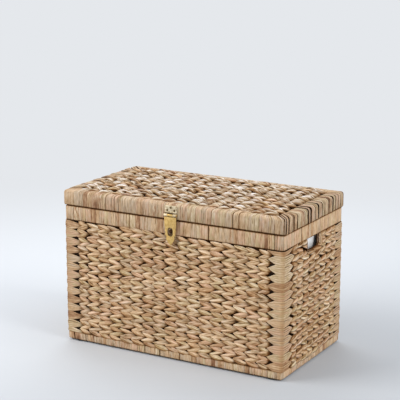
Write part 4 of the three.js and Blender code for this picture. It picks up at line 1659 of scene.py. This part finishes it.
@dataclass
class Hardware:
    """The brass, made of bevelled copies of the frame's own pieces, and the frame's wood and glides."""

    finishes: Finishes
    merge: float = 0.02
    bevel: float = 0.35
    hinge_metal: float = 1.5
    hole_inset: float = 15.0
    hole_spacing: float = 24.0
    head_radius: float = 3.1
    head_depth: float = 1.2
    head_place: float = 0.2
    head_edge: float = 0.7
    head_crown: float = 0.4
    slot_half: float = 0.4
    slot_depth: float = 0.7

    def copy_node(self, node: str) -> bpy.types.Object:
        """Copies a CAD node, merges its loose triangles and rounds its edges.

        Args:
            node: The node's name.

        Returns:
            The new object.
        """
        copy = duplicate(frame["nodes"][node])
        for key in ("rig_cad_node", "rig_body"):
            if key in copy:
                del copy[key]
        copy.parent = None
        copy.name = f"{node}_brass"
        bpy.ops.object.mode_set(mode="EDIT")
        bpy.ops.mesh.select_all(action="SELECT")
        bpy.ops.mesh.remove_doubles(threshold=self.merge * MM)
        bpy.ops.mesh.dissolve_limited(angle_limit=math.radians(1.0))
        bpy.ops.object.mode_set(mode="OBJECT")
        apply_modifier(copy, "BEVEL", width=self.bevel * MM, segments=2, limit_method="ANGLE",
                       angle_limit=math.radians(40))
        bpy.ops.object.shade_smooth_by_angle(angle=math.radians(35))
        return copy

    def build(self) -> None:
        """Copies and dresses every metal piece, and paints the wood and the glides."""
        look = self.finishes
        bodies = {n: b for b, members in frame["record"]["behaviour"]["bodies"].items() for n in members}
        special = {"hasp_plate": look.plate, "hasp_stud": look.stud, "hasp_leaf": look.leaf}
        painted = {"rail": look.timber, "post": look.post, "foot": look.glide, "base_panel": look.plywood}
        for node in sorted(frame["nodes"]):
            if "hasp" in node or "hinge" in node:
                material = look.screw if "screw" in node else special.get(node, look.brass)
                fit_out(self.copy_node(node), Body(bodies[node]), material, (node,))
            for ending, material in painted.items():
                if node.endswith(ending):
                    self.paint(node, material)
        self.build_hinge_screws()

    @staticmethod
    def paint(node: str, material: bpy.types.Material) -> None:
        """Gives a CAD node that shows as it is its material.

        Args:
            node: The node's name.
            material: The material.
        """
        mesh = frame["nodes"][node].data
        mesh.materials.clear()
        mesh.materials.append(material)

    def model_screw(self) -> bpy.types.Object:
        """Models a slotted screw head that faces the back, with its seat at the origin.

        Returns:
            The screw, to be copied.
        """
        bpy.ops.object.select_all(action="DESELECT")
        bpy.ops.mesh.primitive_cylinder_add(
            vertices=20, radius=self.head_radius * MM, depth=self.head_depth * MM,
            location=(0, self.head_place * MM, 0), rotation=(-math.pi / 2, 0, 0))
        screw = settle("screw")
        pick_faces(screw, lambda face: face.normal.y > 0.9)
        bpy.ops.mesh.inset(thickness=self.head_edge * MM)
        bpy.ops.transform.translate(value=(0, self.head_crown * MM, 0))
        for edge in (-self.slot_half, self.slot_half):
            cut_across((0, 0, edge * MM), (0, 0, 1))
        top = (self.head_place + self.head_depth / 2 + self.head_crown) * MM
        pick_faces(screw, lambda face: face.center.y > top - 0.05 * MM and abs(face.center.z) < 0.3 * MM)
        bpy.ops.mesh.extrude_region_move(TRANSFORM_OT_translate={"value": (0, -self.slot_depth * MM, 0)})
        bpy.ops.object.mode_set(mode="OBJECT")
        bpy.ops.object.shade_smooth_by_angle(angle=math.radians(30))
        return screw

    def build_hinge_screws(self) -> None:
        """Puts a copy of the screw into each hole of the hinges' leaves."""
        model = self.model_screw()
        for hinge in ("left_hinge", "right_hinge"):
            for leaf, body in (("lid_leaf", Body.LID), ("body_leaf", Body.CHEST)):
                low, high = node_box(f"{hinge}_{leaf}")
                level = high[2] - self.hole_inset if body is Body.LID else low[2] + self.hole_inset
                for label, way in (("inner", -1), ("outer", 1)):
                    across = (low[0] + high[0]) / 2 + way * self.hole_spacing / 2
                    duplicate(model)
                    screw = settle(f"{hinge}_{leaf}_screw_{label}",
                                   location=(across * MM, (low[1] + self.hinge_metal) * MM, level * MM))
                    fit_out(screw, body, self.finishes.screw)
        bpy.data.meshes.remove(model.data)


@dataclass
class Liner:
    """The sewn cotton liner: a hanging bag of cloth with soft folds, a hem and a row of stitches round it.

    Each of the waves in its walls has a share of the folds' depth, a length along the wall and one up it, and
    how far a turn of the wall shifts it. Hole_reach is how far a hand hole eases the folds, along and up.
    """

    finishes: Finishes
    low: Array
    high: Array
    thick: float = 1.2
    cuts: int = 56
    corner_round: float = 12.0
    fold: float = 10.0
    crumple: float = 3.5
    bulge: float = 5.0
    waves: tuple[Floats, ...] = ((0.3, 24.0, 150.0, 3.0), (0.2, 13.0, -70.0, 5.0))
    hole_level: float = 344.0
    hole_reach: Pair = (46.0, 24.0)
    hem_height: float = 18.0
    hem_thick: float = 1.6
    hem_cuts: int = 40
    stitch_pitch: float = 5.0
    stitch_length: float = 3.0
    stitch_level: float = 3.0
    stitch_gap: float = 0.1

    def model_box(self, name: str, bottom: float, closed: bool, cuts: int) -> bpy.types.Object:
        """Models a plain box of cloth, open at the top and finely divided.

        Args:
            name: The piece's name.
            bottom: Height of its lower edge.
            closed: Whether it has a bottom.
            cuts: How often each face is cut each way.

        Returns:
            The new object, with its faces towards the inside.
        """
        low = np.array([self.low[0], self.low[1], bottom])
        bpy.ops.object.select_all(action="DESELECT")
        bpy.ops.mesh.primitive_cube_add(size=1.0, location=tuple((self.high + low) / 2 * MM))
        cloth = settle(name, scale=tuple((self.high - low) * MM))
        pick_faces(cloth, lambda face: face.normal.z > 0.9 or (face.normal.z < -0.9 and not closed))
        bpy.ops.mesh.delete(type="FACE")
        bpy.ops.mesh.select_all(action="SELECT")
        bpy.ops.mesh.flip_normals()
        bpy.ops.mesh.subdivide(number_cuts=cuts)
        bpy.ops.object.mode_set(mode="OBJECT")
        return cloth

    def hang(self, places: Array, inset: float) -> Array:
        """Rounds a box's edges and lays soft folds in its walls, fullest at mid height.

        Args:
            places: Points of a plain open box, in millimetres.
            inset: How far inside the cloth's outer face they lie.

        Returns:
            The points of the hanging cloth.
        """
        middle, half = (self.high + self.low) / 2, (self.high - self.low) / 2
        local = places - middle
        held = np.clip(local, self.corner_round - half, half - self.corner_round)
        held[:, 2] = np.where(local[:, 2] > 0, local[:, 2], held[:, 2])
        away = local - held
        outward = away / np.maximum(np.linalg.norm(away, axis=1, keepdims=True), 1e-6)
        height = (places[:, 2] - self.low[2]) / (self.high[2] - self.low[2])
        x, y, z = local.T
        beside = x * np.abs(outward[:, 1]) + y * np.abs(outward[:, 0])
        turn = 2.1 * outward[:, 0] + 0.9 * outward[:, 1]
        wave = sum((share * np.sin(beside / run + z / rise + shift * turn)
                    for share, run, rise, shift in self.waves), 0.5)
        crumple = 0.5 + 0.5 * np.sin(x / 52 + y / 83) * np.sin(y / 44 - x / 97)
        slack = np.sin(math.pi * np.clip(height, 0, 1)) ** 0.8
        level = np.clip(-outward[:, 2], 0, 1)
        inward = self.fold * slack * wave * (1 - level) + self.crumple * crumple * level
        along_hole, up_hole = self.hole_reach
        from_hole = (y / along_hole) ** 2 + ((places[:, 2] - self.hole_level) / up_hole) ** 2
        near_hole = np.exp(-from_hole) * np.abs(outward[:, 0])
        out = self.corner_round - inset - inward * (1 - near_hole) + self.bulge * near_hole * (height < 1)
        return middle + held + outward * out[:, None]

    def sew(self, cloth: bpy.types.Object, inset: float, thick: float) -> None:
        """Hangs a box of cloth, lays its thread map and gives it its thickness, inwards.

        Args:
            cloth: The plain box.
            inset: How far inside the cloth's outer face it lies.
            thick: The cloth's thickness.
        """
        mesh = cloth.data
        places = np.array([v.co for v in mesh.vertices]) / MM
        layer = mesh.uv_layers.active
        layer.name = "cloth"
        for face in mesh.polygons:
            widest = max(range(3), key=lambda axis: abs(face.normal[axis]))
            first, second = ((1, 2), (0, 2), (0, 1))[widest]
            for loop in face.loop_indices:
                place = mesh.vertices[mesh.loops[loop].vertex_index].co
                layer.data[loop].uv = (place[first], place[second])
        mesh.vertices.foreach_set("co", (self.hang(places, inset) * MM).reshape(-1))
        select_only(cloth)
        apply_modifier(cloth, "SOLIDIFY", thickness=thick * MM, offset=1.0)
        bpy.ops.object.shade_smooth_by_angle(angle=math.radians(60))

    def build_stitches(self) -> bpy.types.Object:
        """Sews a row of stitches along the hem, seen from inside.

        Returns:
            The stitches.
        """
        inset = self.thick + self.hem_thick + self.stitch_gap
        half_length, half_depth = ((self.high - self.low) / 2)[:2] - inset
        wall = Wall(half_length, half_depth, self.corner_round - inset)
        count = round(wall.lengths.sum() / self.stitch_pitch)
        along = (np.arange(count) * wall.lengths.sum() / count)[:, None]
        along = along + self.stitch_length * np.array([-0.5, 0, 0.5])
        level = np.full_like(along, self.high[2] - self.hem_height + self.stitch_level)
        centre, outward = wall.place(along, 0.25 * np.array([1, -1, 1]) + 0 * along, level)
        full = np.ones_like(along)
        run = StrandRun(centre, -outward, 0.4 * full, 0.35 * full, 0 * full, 0 * full, np.zeros(count))
        piece = run.piece("liner_stitches", StrandBlank(3, THREAD_PROFILE))
        return fit_out(piece, Body.CHEST, self.finishes.thread)

    def build(self) -> None:
        """Makes the cloth, its hem and its stitches."""
        cloth = self.model_box("liner_cloth", self.low[2], True, self.cuts)
        self.sew(cloth, 0.0, self.thick)
        hem = self.model_box("liner_hem", self.high[2] - self.hem_height, False, self.hem_cuts)
        self.sew(hem, self.thick, self.hem_thick)
        fit_out(hem, Body.CHEST, self.finishes.cotton)
        stitches = self.build_stitches()
        fit_out(cloth, Body.CHEST, self.finishes.cotton, ("liner",))


@dataclass
class Studio:
    """The floor, the lights and the camera."""

    finishes: Finishes
    floor_size: float = 80.0
    azimuth: float = 29.82
    elevation: float = 13.99
    distance: float = 3.753
    lens: float = 118.4
    shift: Pair = (0.0023, 0.0267)
    target: tuple[float, float, float] = (-0.014, 0.0, 0.3876)
    lit_point: tuple[float, float, float] = (0.0, 0.0, 0.25)
    surroundings: Colour = (0.64, 0.66, 0.69, 1.0)

    def build_floor(self) -> None:
        """Lays a large pale floor."""
        bpy.ops.object.select_all(action="DESELECT")
        bpy.ops.mesh.primitive_plane_add(size=self.floor_size, location=(0, 0, 0))
        floor = settle("floor")
        floor.data.materials.append(self.finishes.floor)

    def build_camera(self) -> None:
        """Places the camera at the photograph's viewing angle."""
        turn, tilt = math.radians(self.azimuth), math.radians(self.elevation)
        back = Vector((math.sin(turn) * math.cos(tilt), -math.cos(turn) * math.cos(tilt), math.sin(tilt)))
        data = bpy.data.cameras.new("camera")
        set_all(data, {"lens": self.lens, "sensor_width": 36.0})
        data.shift_x, data.shift_y = self.shift
        camera = add_object("camera", data)
        camera.location = Vector(self.target) + back * self.distance
        camera.rotation_euler = (-back).to_track_quat("-Z", "Y").to_euler()
        bpy.context.scene.camera = camera

    def add_softbox(self, name: str, place: tuple[float, float, float], size: float, watts: float,
                    colour: tuple[float, float, float]) -> None:
        """Adds a square area light that faces the trunk.

        Args:
            name: The light's name.
            place: Where it hangs, in metres.
            size: Length of its sides, in metres.
            watts: Its power.
            colour: Its colour.
        """
        data = bpy.data.lights.new(name, "AREA")
        set_all(data, {"size": size, "energy": watts, "color": colour})
        lamp = add_object(name, data)
        lamp.location = place
        lamp.rotation_euler = (Vector(self.lit_point) - Vector(place)).to_track_quat("-Z", "Y").to_euler()

    def build_light(self) -> None:
        """Adds the soft lights and the pale surroundings."""
        world = bpy.data.worlds.new("studio")
        bpy.context.scene.world = world
        world.use_nodes = True
        shader = Shader(world.node_tree)
        seen = shader.add("LightPath", {}, "Is Camera Ray")
        shader.fill(world.node_tree.nodes["Background"],
                    {"Color": shader.mix(seen, self.surroundings, self.finishes.haze)})
        warm, cool = (1.0, 0.98, 0.95), (0.97, 0.98, 1.0)
        self.add_softbox("left_softbox", (-4.2, -3.2, 3.5), size=3.8, watts=250.0, colour=warm)
        self.add_softbox("right_softbox", (5.2, -0.4, 3.0), size=3.1, watts=188.0, colour=warm)
        self.add_softbox("top_softbox", (-1.9, 2.4, 4.8), size=3.2, watts=92.0, colour=cool)

    def build(self) -> None:
        """Sets up the whole studio and the plain view transform."""
        self.build_floor()
        self.build_camera()
        self.build_light()
        bpy.context.scene.view_settings.view_transform = "Standard"


def main() -> None:
    """Builds the trunk piece by piece."""
    logging.basicConfig(level=logging.INFO, format="%(name)s: %(message)s")
    finishes = Finishes()
    Studio(finishes).build()
    Hardware(finishes).build()
    _, column_high = node_box("back_right_corner_wrap")
    panel_low, panel_high = node_box("front_panel")
    seat = 0.3
    wall = Wall(column_high[0], column_high[1], corner_round=7.0)
    BodyWeave(finishes, wall, panel_high[2] + seat, panel_low[2] - seat).build()
    LidWeave(finishes, *node_box("lid_panel")).build()
    ribs = Winding(strip_width=12.5, seam_share=0.7, seam_gap=(1.5, 3.8), unevenness=0.9, bow=5.5, slant=5.0)
    WoundBand.on_frame(finishes, "base", Body.CHEST, 400, dark_top=0.8, dark_bottom=0.5).build()
    WoundBand.on_frame(finishes, "rim", Body.CHEST, 410, dark_top=1.0, dark_bottom=0.9).build()
    WoundBand.on_frame(finishes, "lid", Body.LID, 420, overhang=2.5, dark_top=0.0, dark_bottom=1.0,
                       top_round=9.0, short_winding=ribs, corner_gap=2.6).build()
    Liner(finishes, *node_box("liner")).build()


if __name__ == "__main__":
    main()
